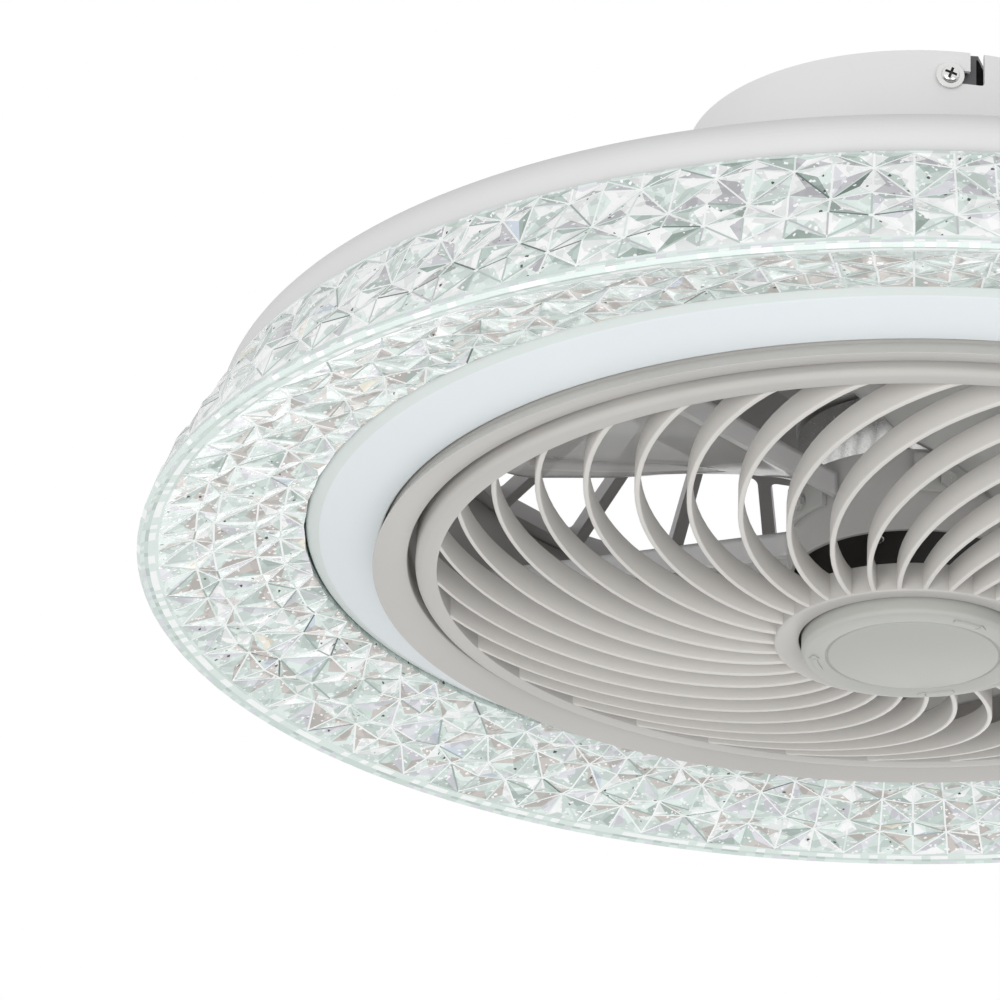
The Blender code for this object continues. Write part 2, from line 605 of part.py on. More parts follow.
def air_shroud():
    """Round wall of the air duct, from the bezel up to the chassis rim."""
    outer = SHROUD_RADIUS + SHROUD_WALL
    low = LEDGE_TOP_Z + FIT_GAP
    high = CHASSIS_RIM_Z - GUARD_DEPTH - FIT_GAP
    foot = outer + SHROUD_FOOT
    outline = [(SHROUD_RADIUS, low), (foot, low), (foot, low + SHROUD_WALL),
               (outer, low + SHROUD_WALL), (outer, high), (SHROUD_RADIUS, high)]
    shroud = turned("air_shroud", outline, RING_SIDES, SHROUD_PLASTIC)
    holes = bmesh.new()
    screw_holes(holes, bezel_screw_places(), low - OVERRUN, low + SHROUD_WALL + OVERRUN)
    cut(shroud, "shroud_holes", holes)


def led_tray():
    """Sheet ring that carries the lights and clamps the crystal shade's flange."""
    inner = SHROUD_RADIUS + SHROUD_WALL + ROUND_GAP
    outline = [(inner, TRAY_UNDER_Z), (TRAY_RADIUS, TRAY_UNDER_Z),
               (TRAY_RADIUS, TRAY_TOP_Z), (inner, TRAY_TOP_Z)]
    tray = turned("led_tray", outline, RING_SIDES, ZINC)
    holes = bmesh.new()
    places = [polar(TRAY_SCREW_RADIUS, a)[:2] for a in around(TRAY_SCREWS, TRAY_SCREW_START)]
    screw_holes(holes, places, TRAY_UNDER_Z - OVERRUN, TRAY_TOP_Z + OVERRUN)
    cut(tray, "tray_holes", holes)
    for number, (x, y) in enumerate(places, 1):
        place = Matrix.Translation((x, y, TRAY_UNDER_Z - FIT_GAP))
        screw(f"tray_screw_{number}", place, TRAY_SHEET + SHADE_FLANGE)


def led_board():
    """Circuit ring under the tray with a round of light chips on its lower face."""
    high = TRAY_UNDER_Z - FIT_GAP
    low = high - BOARD_SHEET
    outline = [(BOARD_INNER_RADIUS, low), (BOARD_RADIUS, low),
               (BOARD_RADIUS, high), (BOARD_INNER_RADIUS, high)]
    board = turned("led_board", outline, RING_SIDES, BOARD_WHITE)
    chips = bmesh.new()
    middle = (BOARD_INNER_RADIUS + BOARD_RADIUS) / 2
    for azimuth in around(CHIP_COUNT):
        size = (CHIP_SIDE, CHIP_SIDE, CHIP_HEIGHT + BOARD_SHEET / 2)
        centre = (middle, 0, low + BOARD_SHEET / 2 - size[2] / 2)
        add_box(chips, size, centre, Matrix.Rotation(azimuth, 4, "Z"))
    weld(board, "board_chips", chips)


def under_level(radius):
    """Level of the crystal shade's conical underside, which the diffuser carries on."""
    return RIM_Z + (SHADE_RADIUS - radius) * SHADE_SLOPE_SHARE


def diffuser():
    """Milky cover of the light ring: inner wall, sloping face and flared outer wall."""
    inner = DIFFUSER_INNER_RADIUS
    lip = DIFFUSER_LIP_RADIUS
    face = BEZEL_RIM_Z + BEZEL_SIDE + FIT_GAP
    edge = under_level(SHADE_INNER_RADIUS) - DIFFUSER_PROUD
    high = TRAY_UNDER_Z - FIT_GAP
    knee = under_level(SHADE_INNER_RADIUS) + DIFFUSER_LIP + FIT_GAP
    wall = DIFFUSER_WALL
    outline = [(inner, high), (inner, face), (lip - DIFFUSER_CHAMFER, edge),
               (lip, edge + DIFFUSER_CHAMFER / 2), (lip, knee), (DIFFUSER_RADIUS, high),
               (DIFFUSER_RADIUS - wall, high), (lip - wall, knee), (lip - DIFFUSER_CHAMFER, edge + wall + FIT_GAP),
               (inner + wall, face + wall), (inner + wall, high)]
    turned("diffuser", outline, RING_SIDES, MILKY)


def shade_rows():
    """Rows of (radius, level, relief) from the crystal's top edge round to its inner edge."""
    out = SHADE_RADIUS - SHADE_TOP_RADIUS
    rows = [(SHADE_TOP_RADIUS, SHADE_TOP_Z, 0.0)]
    for out_share, down_share in SIDE_ROW_SHARES:
        rows.append((SHADE_TOP_RADIUS + out * out_share, SHADE_TOP_Z - SHADE_DROP * down_share,
                     SHADE_RELIEF))
    band = SHADE_RADIUS - SHADE_RIM_BAND
    rows += [(SHADE_RADIUS, RIM_Z, 0.0), (band, under_level(band), 0.0)]
    for share in UNDER_ROW_SHARES:
        radius = band + (SHADE_INNER_RADIUS - band) * share
        rows.append((radius, under_level(radius), SHADE_RELIEF))
    rows.append((SHADE_INNER_RADIUS, under_level(SHADE_INNER_RADIUS), 0.0))
    return rows


def shade_relief(rows, number):
    """Way out of the faceted face at a row, square to the line between its neighbours."""
    before = Vector(rows[max(number - 1, 0)][:2])
    after = Vector(rows[min(number + 1, len(rows) - 1)][:2])
    along = (after - before).normalized()
    return Vector((-along.y, along.x))


def crystal_shade():
    """Clear shade of staggered eight-ray stars: each cell between stars is a low pyramid."""
    bm = bmesh.new()
    rows = shade_rows()
    half_steps = 2 * SHADE_COLUMNS
    rings = []
    for number, (radius, z, relief) in enumerate(rows):
        way = shade_relief(rows, number)
        ring = []
        for step in range(half_steps):
            star = (step + number) % 2 == 1
            push = -relief / 2 if star else relief / 2
            inward = SHADE_SCALLOP if number == len(rows) - 1 and star else 0.0
            azimuth = 2 * math.pi * step / half_steps
            place = polar(radius + way.x * push + inward, azimuth, z + way.y * push)
            ring.append(bm.verts.new(place))
        rings.append(ring)
    for number, (upper, lower) in enumerate(zip(rings, rings[1:])):
        for step in range(half_steps):
            after = (step + 1) % half_steps
            corners = (upper[step], upper[after], lower[after], lower[step])
            first = 0 if (step + number) % 2 == 1 else 1
            a, b, c, d = corners[first:] + corners[:first]
            bm.faces.new((a, b, c))
            bm.faces.new((a, c, d))
    close_shade(bm, rings[-1], rings[0])
    piece("crystal_shade", bm, CRYSTAL)


def close_shade(bm, last, first):
    """Smooth inner faces and top flange, with half as many sides as the stars."""
    wall = SHADE_WALL
    edge = under_level(SHADE_INNER_RADIUS) + wall * 3 / 4
    corner = SHADE_RADIUS - SHADE_RIM_BAND - FIT_GAP
    flange_under = SHADE_SEAT_Z - SHADE_FLANGE
    lines = [(SHADE_INNER_RADIUS + SHADE_SCALLOP, edge), (corner, under_level(corner) + wall),
             (SHADE_TOP_RADIUS - wall, flange_under), (SHADE_FLANGE_RADIUS, flange_under),
             (SHADE_FLANGE_RADIUS, SHADE_SEAT_Z),
             (HOUSING_RADIUS + ROUND_GAP, SHADE_SEAT_Z), (HOUSING_RADIUS + ROUND_GAP, SHADE_TOP_Z)]
    rings = []
    for radius, z in lines:
        turns = (2 * math.pi * k / SHADE_COLUMNS for k in range(SHADE_COLUMNS))
        rings.append([bm.verts.new(polar(radius, a, z)) for a in turns])
    fan_band(bm, last, rings[0])
    for upper, lower in zip(rings, rings[1:]):
        for step in range(SHADE_COLUMNS):
            after = (step + 1) % SHADE_COLUMNS
            bm.faces.new((upper[step], upper[after], lower[after], lower[step]))
    fan_band(bm, first, rings[-1])


def fan_band(bm, fine, coarse):
    """Join a ring of points to a ring with half as many."""
    count = len(coarse)
    for step in range(count):
        after = (step + 1) % count
        middle = fine[2 * step + 1]
        bm.faces.new((fine[2 * step], middle, coarse[step]))
        bm.faces.new((middle, fine[2 * after], coarse[after]))
        bm.faces.new((middle, coarse[after], coarse[step]))


def bezel_screw_places():
    radius = SHROUD_RADIUS + SHROUD_WALL + FIT_GAP
    return [polar(radius, a)[:2] for a in around(HOOK_COUNT, BEZEL_SCREW_START)]


def bezel_ring():
    """Fixed trim ring with a ledge above the grille and hooks that hold the grille up."""
    waist = BEZEL_RADIUS - BEZEL_TAPER
    outline = [(BEZEL_INNER_RADIUS, BEZEL_INNER_Z), (BEZEL_RADIUS, BEZEL_RIM_Z),
               (waist, BEZEL_RIM_Z + BEZEL_SIDE), (waist, LEDGE_TOP_Z),
               (LEDGE_INNER_RADIUS, LEDGE_TOP_Z), (LEDGE_INNER_RADIUS, LEDGE_UNDER_Z),
               (BEZEL_INNER_RADIUS, LEDGE_UNDER_Z)]
    bezel = turned("bezel_ring", outline, RING_SIDES, GREIGE)
    hooks = bmesh.new()
    low = hook_level()
    for azimuth in around(HOOK_COUNT):
        reach = GRILLE_RING_RADIUS + ROUND_GAP / 2
        outline = arc_band(reach, BEZEL_INNER_RADIUS + OVERRUN,
                           azimuth - HOOK_LENGTH / 2, azimuth + HOOK_LENGTH / 2, 2)
        add_prism(hooks, outline, low, low + HOOK_HEIGHT)
    weld(bezel, "bezel_hooks", hooks)
    holes = bmesh.new()
    screw_holes(holes, bezel_screw_places(), LEDGE_UNDER_Z - OVERRUN, LEDGE_TOP_Z + OVERRUN)
    cut(bezel, "bezel_holes", holes)
    for number, (x, y) in enumerate(bezel_screw_places(), 1):
        place = Matrix.Translation((x, y, LEDGE_UNDER_Z - FIT_GAP))
        screw(f"bezel_screw_{number}", place, BEZEL_LEDGE + SHROUD_WALL + FIT_GAP)


def hook_level():
    """Underside of the bezel's hooks; the grille's lugs rest just above them."""
    return GRILLE_TOP_Z - 2 * HOOK_HEIGHT - 2 * FIT_GAP


def rib_line(start):
    """Plan points of one rib: a round arc from the hub out to the ring."""
    root = polar(HUB_RADIUS - HUB_WALL / 2, start)
    tip = polar((GRILLE_MOUTH_RADIUS + GRILLE_RING_RADIUS) / 2, start + RIB_SWEEP)
    chord = tip - root
    bow = chord.length * RIB_BOW_SHARE
    radius = ((chord.length / 2) ** 2 + bow ** 2) / (2 * bow)
    side = Vector((-chord.y, chord.x, 0)).normalized()
    centre = (root + tip) / 2 + side * (radius - bow)
    first = (root - centre).to_2d()
    turn = first.angle_signed((tip - centre).to_2d())
    points = []
    for step in range(RIB_STEPS + 1):
        arm = Matrix.Rotation(-turn * step / RIB_STEPS, 3, "Z") @ (root - centre)
        points.append(centre + arm)
    return points


def dome_level(radius):
    """Level of the ribs' lower edges: low at the hub, level with the ring outside."""
    share = (radius - HUB_RADIUS) / (GRILLE_MOUTH_RADIUS - HUB_RADIUS)
    return HUB_Z + DOME_DEPTH * min(max(share, 0.0), 1.0) ** DOME_SHARE


def add_rib(bm, start):
    points = rib_line(start)
    previous = None
    for number, point in enumerate(points):
        before = points[max(number - 1, 0)]
        after = points[min(number + 1, RIB_STEPS)]
        along = (after - before).normalized()
        side = Vector((-along.y, along.x, 0)) * RIB_WALL / 2
        low = dome_level(point.length) + FIT_GAP
        corners = [point - side, point + side, point + side, point - side]
        levels = [low, low, low + RIB_DEPTH, low + RIB_DEPTH]
        loop = [bm.verts.new((c.x, c.y, z)) for c, z in zip(corners, levels)]
        if previous is None:
            bm.faces.new(loop)
        else:
            for k in range(4):
                bm.faces.new((previous[k], previous[k - 3], loop[k - 3], loop[k]))
        previous = loop
    bm.faces.new(reversed(previous))


def grille(parent):
    """Removable front: ring, thirty-four swept ribs and the hub cup that takes the cap."""
    lip = CAP_RADIUS + ROUND_GAP
    outline = [(0, HUB_TOP_Z - HUB_WALL), (HUB_RADIUS - HUB_WALL, HUB_TOP_Z - HUB_WALL),
               (HUB_RADIUS - HUB_WALL, HUB_Z + HUB_LIP), (lip, HUB_Z + HUB_LIP), (lip, HUB_Z),
               (HUB_RADIUS, HUB_Z), (HUB_RADIUS, HUB_TOP_Z), (0, HUB_TOP_Z)]
    front = turned("grille", outline, MOTOR_SIDES, GREIGE, parent)
    front.matrix_parent_inverse = parent.matrix_world.inverted()
    notches = bmesh.new()
    for azimuth in around(CAP_LUGS, -CAP_TWIST):
        spread = CAP_LUG_LENGTH / 2 + ROUND_GAP / CAP_RADIUS
        reach = CAP_RADIUS + CAP_LUG_REACH + ROUND_GAP
        outline = arc_band(CAP_RADIUS - OVERRUN, reach, azimuth - spread, azimuth + spread, 2)
        add_prism(notches, outline, HUB_Z - OVERRUN, HUB_Z + HUB_LIP + CUT_OVERLAP)
    cut(front, "hub_notches", notches)
    ribs = bmesh.new()
    for azimuth in around(RIB_COUNT, RIB_START):
        add_rib(ribs, azimuth)
    weld(front, "grille_ribs", ribs)
    ring = bmesh.new()
    outline = [(GRILLE_MOUTH_RADIUS, GRILLE_Z), (GRILLE_RING_RADIUS, GRILLE_Z),
               (GRILLE_RING_RADIUS, GRILLE_TOP_Z), (GRILLE_MOUTH_RADIUS, GRILLE_TOP_Z)]
    add_turned(ring, outline, RING_SIDES)
    weld(front, "grille_ring", ring)
    lugs = bmesh.new()
    low = hook_level() + HOOK_HEIGHT + FIT_GAP
    for azimuth in around(HOOK_COUNT):
        outline = arc_band(GRILLE_RING_RADIUS - OVERRUN, BEZEL_INNER_RADIUS - ROUND_GAP,
                           azimuth - HOOK_LENGTH / 2, azimuth + HOOK_LENGTH / 2, 2)
        add_prism(lugs, outline, low, low + HOOK_HEIGHT)
    weld(front, "grille_lugs", lugs)


def hub_cap(parent):
    """Twist-off cap with a sunk disc below and bayonet lugs above the hub's lip."""
    inner = CAP_RADIUS - CAP_WALL
    top = CAP_LUG_Z + CAP_LUG_HEIGHT
    disc = CAP_Z + CAP_RECESS
    outline = [(0, disc), (CAP_DISC_RADIUS, disc), (CAP_DISC_RADIUS + CAP_RECESS / 2, CAP_Z),
               (CAP_RADIUS - CAP_RECESS, CAP_Z), (CAP_RADIUS, CAP_Z + CAP_RECESS), (CAP_RADIUS, top),
               (inner, top), (inner, disc + CAP_WALL), (0, disc + CAP_WALL)]
    cap = turned("hub_cap", outline, MOTOR_SIDES, CAP_GREY, parent)
    cap.matrix_parent_inverse = parent.matrix_world.inverted()
    lugs = bmesh.new()
    for azimuth in around(CAP_LUGS):
        outline = arc_band(inner + CAP_WALL / 2, CAP_RADIUS + CAP_LUG_REACH,
                           azimuth - CAP_LUG_LENGTH / 2, azimuth + CAP_LUG_LENGTH / 2, 2)
        add_prism(lugs, outline, CAP_LUG_Z, top)
    weld(cap, "cap_lugs", lugs)


def motor_base():
    """Fixed part of the motor: flange, upper cover and the tube that holds the bearings."""
    tube_bore = BEARING_RADIUS + FIT_GAP
    cover = MOTOR_COVER_RADIUS
    inner = cover - MOTOR_COVER_WALL
    flange_under = MOTOR_TOP_Z - MOTOR_SHEET
    outline = [(inner, MOTOR_TOP_Z), (inner, COVER_Z + MOTOR_SHEET), (tube_bore, COVER_Z + MOTOR_SHEET),
               (tube_bore, TUBE_END_Z), (TUBE_RADIUS, TUBE_END_Z), (TUBE_RADIUS, COVER_Z),
               (cover, COVER_Z), (cover, flange_under), (MOTOR_FLANGE_RADIUS, flange_under),
               (MOTOR_FLANGE_RADIUS, MOTOR_TOP_Z)]
    base = turned("motor_base", outline, MOTOR_SIDES, MOTOR_GREY)
    holes = bmesh.new()
    screw_holes(holes, motor_screw_places(), flange_under - OVERRUN, MOTOR_TOP_Z + OVERRUN)
    cut(base, "motor_base_holes", holes)
    for number, (x, y) in enumerate(motor_screw_places(), 1):
        place = Matrix.Translation((x, y, flange_under - FIT_GAP))
        screw(f"motor_screw_{number}", place, MOTOR_SHEET + CHASSIS_SHEET)


def bearings():
    """Two ball bearings in the tube, drawn as closed rings."""
    inner = SHAFT_RADIUS + FIT_GAP
    levels = (("lower_bearing", LOWER_BEARING_Z + FIT_GAP), ("upper_bearing", UPPER_BEARING_Z))
    for name, low in levels:
        outline = [(inner, low), (BEARING_RADIUS, low), (BEARING_RADIUS, low + BEARING_HEIGHT),
                   (inner, low + BEARING_HEIGHT)]
        turned(name, outline, SHAFT_SIDES, STEEL)


def stator():
    """Toothed core with its coils, pressed on the outside of the bearing tube."""
    outer = ROTOR_RADIUS - ROTOR_WALL - FIT_GAP - MAGNET_WALL - STATOR_AIR
    root = TUBE_RADIUS + FIT_GAP + STATOR_RING
    pitch = math.pi / STATOR_TEETH
    outline = []
    for azimuth in around(STATOR_TEETH):
        for radius, share in ((root, -1.0), (root, -TOOTH_WIDTH_SHARE),
                              (outer - SHOE_HEIGHT, -TOOTH_WIDTH_SHARE),
                              (outer, -SHOE_WIDTH_SHARE), (outer, SHOE_WIDTH_SHARE),
                              (outer - SHOE_HEIGHT, TOOTH_WIDTH_SHARE), (root, TOOTH_WIDTH_SHARE)):
            outline.append(polar(radius, azimuth + pitch * share)[:2])
    low = ROTOR_Z + ROTOR_FLOOR + BOSS_HEIGHT + BEARING_HEIGHT
    bm = bmesh.new()
    add_prism(bm, outline, low, low + STATOR_HEIGHT)
    core = piece("stator_core", bm, COPPER)
    bore = bmesh.new()
    add_prism(bore, circle(TUBE_RADIUS + FIT_GAP, MOTOR_SIDES), low - OVERRUN, low + STATOR_HEIGHT + OVERRUN)
    cut(core, "stator_bore", bore)


def rotor(parent):
    """Turning part of the motor: steel cup, magnet ring and shaft."""
    inner = ROTOR_RADIUS - ROTOR_WALL
    floor_top = ROTOR_Z + ROTOR_FLOOR
    bore = SHAFT_RADIUS + FIT_GAP
    outline = [(bore, ROTOR_Z), (ROTOR_RADIUS, ROTOR_Z), (ROTOR_RADIUS, ROTOR_TOP_Z),
               (inner, ROTOR_TOP_Z), (inner, floor_top), (BOSS_RADIUS, floor_top),
               (BOSS_RADIUS, floor_top + BOSS_HEIGHT), (bore, floor_top + BOSS_HEIGHT)]
    turning(turned("rotor_shell", outline, MOTOR_SIDES, STEEL, parent))
    holes = bmesh.new()
    screw_holes(holes, hub_screw_places(), ROTOR_Z - OVERRUN, floor_top + OVERRUN)
    cut(bpy.data.objects["rotor_shell"], "rotor_holes", holes)
    magnet = inner - FIT_GAP
    low = floor_top + BOSS_HEIGHT
    outline = [(magnet - MAGNET_WALL, low), (magnet, low), (magnet, low + MAGNET_HEIGHT),
               (magnet - MAGNET_WALL, low + MAGNET_HEIGHT)]
    turning(turned("magnet_ring", outline, MOTOR_SIDES, DARK_STEEL, parent))
    top = UPPER_BEARING_Z + BEARING_HEIGHT + FIT_GAP
    outline = [(0, ROTOR_Z), (SHAFT_RADIUS, ROTOR_Z), (SHAFT_RADIUS, top), (COLLAR_RADIUS, top),
               (COLLAR_RADIUS, top + COLLAR_HEIGHT), (0, top + COLLAR_HEIGHT)]
    turning(turned("motor_shaft", outline, SHAFT_SIDES, STEEL, parent))


def turning(thing):
    """Keep a piece where it was made when it hangs on an axis empty."""
    thing.matrix_parent_inverse = thing.parent.matrix_world.inverted()
    return thing


def hub_screw_places():
    return [polar(HUB_SCREW_RADIUS, a)[:2] for a in around(HUB_SCREWS)]


def blade_turn(number):
    return Matrix.Rotation(BLADE_START + 2 * math.pi * number / BLADE_COUNT, 4, "Z")


def blade_screw_azimuth():
    """Each blade's screw is in the middle of its foot."""
    return BLADE_SPAN * BLADE_LENGTH_SHARES[0] / -2


def blade_screw_level():
    """The screw sits low in the foot, clear of the sheet above it."""
    return BLADE_Z + FIT_GAP + ROUND_GAP + SCREW_HEAD_RADIUS


def blade_hub(parent):
    """Plastic cup round the motor that carries the blades, open and dark below."""
    inner = ROTOR_RADIUS + ROUND_GAP
    floor_low = BLADE_HUB_Z + BLADE_HUB_RECESS
    floor_top = floor_low + BLADE_HUB_WALL
    top = BLADE_HUB_Z + BLADE_HUB_HEIGHT
    outline = [(0, floor_low), (BLADE_HUB_RADIUS - BLADE_HUB_WALL, floor_low),
               (BLADE_HUB_RADIUS - BLADE_HUB_WALL, BLADE_HUB_Z), (BLADE_HUB_RADIUS, BLADE_HUB_Z),
               (BLADE_HUB_RADIUS, top), (inner, top), (inner, floor_top), (0, floor_top)]
    hub = turning(turned("blade_hub", outline, MOTOR_SIDES, MOTOR_GREY, parent))
    holes = bmesh.new()
    screw_holes(holes, hub_screw_places(), floor_low - OVERRUN, floor_top + OVERRUN)
    level = Matrix.Translation((0, 0, blade_screw_level()))
    for number in range(BLADE_COUNT):
        across = blade_turn(number) @ Matrix.Rotation(blade_screw_azimuth(), 4, "Z")
        along = across @ level @ Matrix.Rotation(math.pi / 2, 4, "Y")
        hole = circle(SCREW_RADIUS + FIT_GAP, SCREW_SIDES)
        add_prism(holes, hole, inner - OVERRUN, BLADE_HUB_RADIUS + OVERRUN, along)
    cut(hub, "blade_hub_holes", holes)
    for number, (x, y) in enumerate(hub_screw_places(), 1):
        place = Matrix.Translation((x, y, floor_low - FIT_GAP))
        screw(f"hub_screw_{number}", place, BLADE_HUB_WALL + ROTOR_FLOOR, parent)


def blade_section(radius, length_share):
    """Pairs of (azimuth, level) points across a blade's wall: front lip, then a rising sheet."""
    lip = -BLADE_WALL / radius
    low = BLADE_Z
    pairs = [((0.0, low + BLADE_LIP), (lip, low + BLADE_LIP)), ((0.0, low), (lip, low + 2 * BLADE_WALL))]
    for step in range(1, BLADE_STEPS + 1):
        share = step / BLADE_STEPS
        azimuth = -BLADE_SPAN * length_share * share
        level = low + BLADE_PITCH_RISE * length_share * share ** BLADE_CAMBER_SHARE
        pairs.append(((azimuth, level), (azimuth, level + BLADE_WALL)))
    return pairs


def add_blade(bm):
    """Sweep the blade's section from the foot to the tip, and close both ends."""
    root = BLADE_HUB_RADIUS + FIT_GAP + BLADE_FOOT_WALL / 2
    last = len(BLADE_LENGTH_SHARES) - 1
    stations = []
    for station, length_share in enumerate(BLADE_LENGTH_SHARES):
        radius = root + (BLADE_TIP_RADIUS - root) * station / last
        pairs = blade_section(radius, length_share)
        stations.append([[bm.verts.new(polar(radius, a, z)) for a, z in pair] for pair in pairs])
    for station, after in zip(stations, stations[1:]):
        line = [pair[0] for pair in station] + [pair[1] for pair in reversed(station)]
        next_line = [pair[0] for pair in after] + [pair[1] for pair in reversed(after)]
        for k in range(len(line)):
            bm.faces.new((line[k - 1], line[k], next_line[k], next_line[k - 1]))
    for end in (stations[0], stations[last]):
        for pair, following in zip(end, end[1:]):
            bm.faces.new((pair[0], following[0], following[1], pair[1]))


def blades(parent):
    """Five clear smoky blades, each with a curved foot screwed to the hub."""
    low = BLADE_Z + FIT_GAP
    level = Matrix.Translation((0, 0, blade_screw_level()))
    inner = BLADE_HUB_RADIUS + FIT_GAP
    middle = blade_screw_azimuth()
    half = BLADE_SPAN * BLADE_LENGTH_SHARES[0] / 3
    for number in range(BLADE_COUNT):
        name = f"blade_{number + 1}"
        bm = bmesh.new()
        add_blade(bm)
        bmesh.ops.transform(bm, matrix=blade_turn(number), verts=bm.verts)
        blade = turning(piece(name, bm, SMOKE, parent))
        foot = bmesh.new()
        outline = arc_band(inner, inner + BLADE_FOOT_WALL, middle - half, middle + half, 3)
        add_prism(foot, outline, low, low + BLADE_FOOT_HEIGHT, blade_turn(number))
        weld(blade, f"{name}_foot", foot)
        across = blade_turn(number) @ Matrix.Rotation(middle, 4, "Z")
        hole = bmesh.new()
        along = across @ level @ Matrix.Rotation(math.pi / 2, 4, "Y")
        outline = circle(SCREW_RADIUS + FIT_GAP, SCREW_SIDES)
        add_prism(hole, outline, inner - OVERRUN, inner + BLADE_FOOT_WALL + OVERRUN, along)
        cut(blade, f"{name}_hole", hole)
        seat = Matrix.Translation((inner + BLADE_FOOT_WALL + FIT_GAP, 0, 0))
        place = across @ level @ seat @ Matrix.Rotation(-math.pi / 2, 4, "Y")
        screw(f"blade_screw_{number + 1}", place, BLADE_FOOT_WALL + BLADE_HUB_WALL, parent)


def canopy_base_screws():
    """Three screws from inside the canopy down into the chassis plate."""
    down = Matrix.Rotation(math.pi, 4, "X")
    seat = CANOPY_FLOOR_Z + CANOPY_WALL + FIT_GAP
    for number, (x, y) in enumerate(base_screw_places(), 1):
        place = Matrix.Translation((x, y, seat)) @ down
        screw(f"base_screw_{number}", place, CANOPY_WALL + CHASSIS_SHEET + OVERRUN)


def electronics():
    """Light driver, remote receiver and mains terminal block on the canopy floor."""
    floor = CANOPY_FLOOR_Z + CANOPY_WALL + FIT_GAP
    boxes = (("led_driver", DRIVER_SIZE, (0, DRIVER_OFFSET), BOX_WHITE),
             ("remote_receiver", RECEIVER_SIZE, (0, RECEIVER_OFFSET), BOX_BLACK),
             ("terminal_block", TERMINAL_SIZE, (TERMINAL_OFFSET, 0), BOX_WHITE))
    for name, size, (x, y), material in boxes:
        bm = bmesh.new()
        add_box(bm, size, (x, y, floor + size[2] / 2))
        upright = [edge for edge in bm.edges if abs(edge.verts[0].co.z - edge.verts[1].co.z) > MERGE]
        bmesh.ops.bevel(bm, geom=upright, offset=BOX_BEVEL, segments=1, profile=0.5, affect="EDGES")
        piece(name, bm, material)
    ways = bmesh.new()
    for way in range(TERMINAL_WAYS):
        share = (way + 0.5) / TERMINAL_WAYS - 0.5
        size = (TERMINAL_SIZE[0] + 2 * OVERRUN, TERMINAL_HOLE, TERMINAL_HOLE)
        add_box(ways, size, (TERMINAL_OFFSET, share * TERMINAL_SIZE[1], floor + TERMINAL_SIZE[2] / 2))
    cut(bpy.data.objects["terminal_block"], "terminal_ways", ways)


def lead(name, *bends):
    """Insulated lead along smooth bends, each given by its two ends and the pulls between."""
    points = []
    for bend in bends:
        points += interpolate_bezier(*(Vector(place) for place in bend), LEAD_STEPS)[bool(points):]
    curve = bpy.data.curves.new(name, "CURVE")
    curve.dimensions = "3D"
    curve.bevel_depth = LEAD_RADIUS
    curve.bevel_resolution = 1
    curve.use_fill_caps = True
    spline = curve.splines.new("POLY")
    spline.points.add(len(points) - 1)
    for spot, point in zip(spline.points, points):
        spot.co = (*point, 1.0)
    curve.materials.append(LEAD_WHITE)
    bpy.context.scene.collection.objects.link(bpy.data.objects.new(name, curve))


def leads():
    """Mains lead from terminal block to receiver, and the motor's lead down through the plate."""
    level = CANOPY_FLOOR_Z + CANOPY_WALL + FIT_GAP + TERMINAL_SIZE[2] / 3
    block = TERMINAL_OFFSET - TERMINAL_SIZE[0] / 2 - ROUND_GAP
    box_end = RECEIVER_SIZE[0] / 2 + ROUND_GAP
    half_way = (block + box_end) / 2
    lead("mains_lead", ((block, 0, level), (half_way, 0, level),
                        (half_way, RECEIVER_OFFSET, level), (box_end, RECEIVER_OFFSET, level)))
    box_side = RECEIVER_OFFSET - RECEIVER_SIZE[1] / 2 - ROUND_GAP
    seat = COVER_Z + MOTOR_SHEET + ROUND_GAP
    middle = (CHASSIS_TOP_Z + seat) / 2
    far = TUBE_RADIUS + LEAD_RADIUS
    lead("motor_lead", ((0, box_side, level), (0, 0, level), (0, 0, level), (0, 0, CHASSIS_TOP_Z)),
         ((0, 0, CHASSIS_TOP_Z), (0, 0, middle), (far, 0, middle), (far, 0, seat)))


clear_scene()

WHITE_PAINT = finish("white_paint", (0.80, 0.80, 0.80), 0.35)
ZINC = finish("zinc_steel", (0.62, 0.63, 0.64), 0.40, metallic=1.0)
GREY_STEEL = finish("grey_steel", (0.52, 0.51, 0.50), 0.50)
STEEL = finish("bright_steel", (0.70, 0.70, 0.70), 0.25, metallic=1.0)
DARK_STEEL = finish("dark_magnet", (0.10, 0.10, 0.11), 0.50)
SHROUD_PLASTIC = finish("shroud_plastic", (0.30, 0.28, 0.27), 0.50)
GREIGE = finish("greige_plastic", (0.52, 0.50, 0.48), 0.40)
CAP_GREY = finish("cap_plastic", (0.50, 0.51, 0.48), 0.40)
MOTOR_GREY = finish("motor_grey", (0.40, 0.40, 0.39), 0.45)
COPPER = finish("copper_coils", (0.55, 0.25, 0.12), 0.40, metallic=0.8)
MILKY = finish("milky_diffuser", (0.80, 0.84, 0.86), 0.35)
CRYSTAL = finish("crystal_acrylic", (0.86, 0.92, 0.90), 0.05, transmission=0.8, alpha=0.6)
SMOKE = finish("smoky_blade", (0.45, 0.45, 0.45), 0.10, transmission=0.7, alpha=0.5)
BOARD_WHITE = finish("circuit_board", (0.85, 0.85, 0.83), 0.50)
BOX_WHITE = finish("box_white", (0.80, 0.80, 0.78), 0.50)
BOX_BLACK = finish("box_black", (0.04, 0.04, 0.04), 0.50)
LEAD_WHITE = finish("lead_white", (0.75, 0.75, 0.73), 0.55)

FAN_AXIS = axis_empty("fan_axis", ROTOR_Z)
GRILLE_AXIS = axis_empty("grille_axis", GRILLE_Z)
CAP_AXIS = axis_empty("cap_axis", CAP_Z)

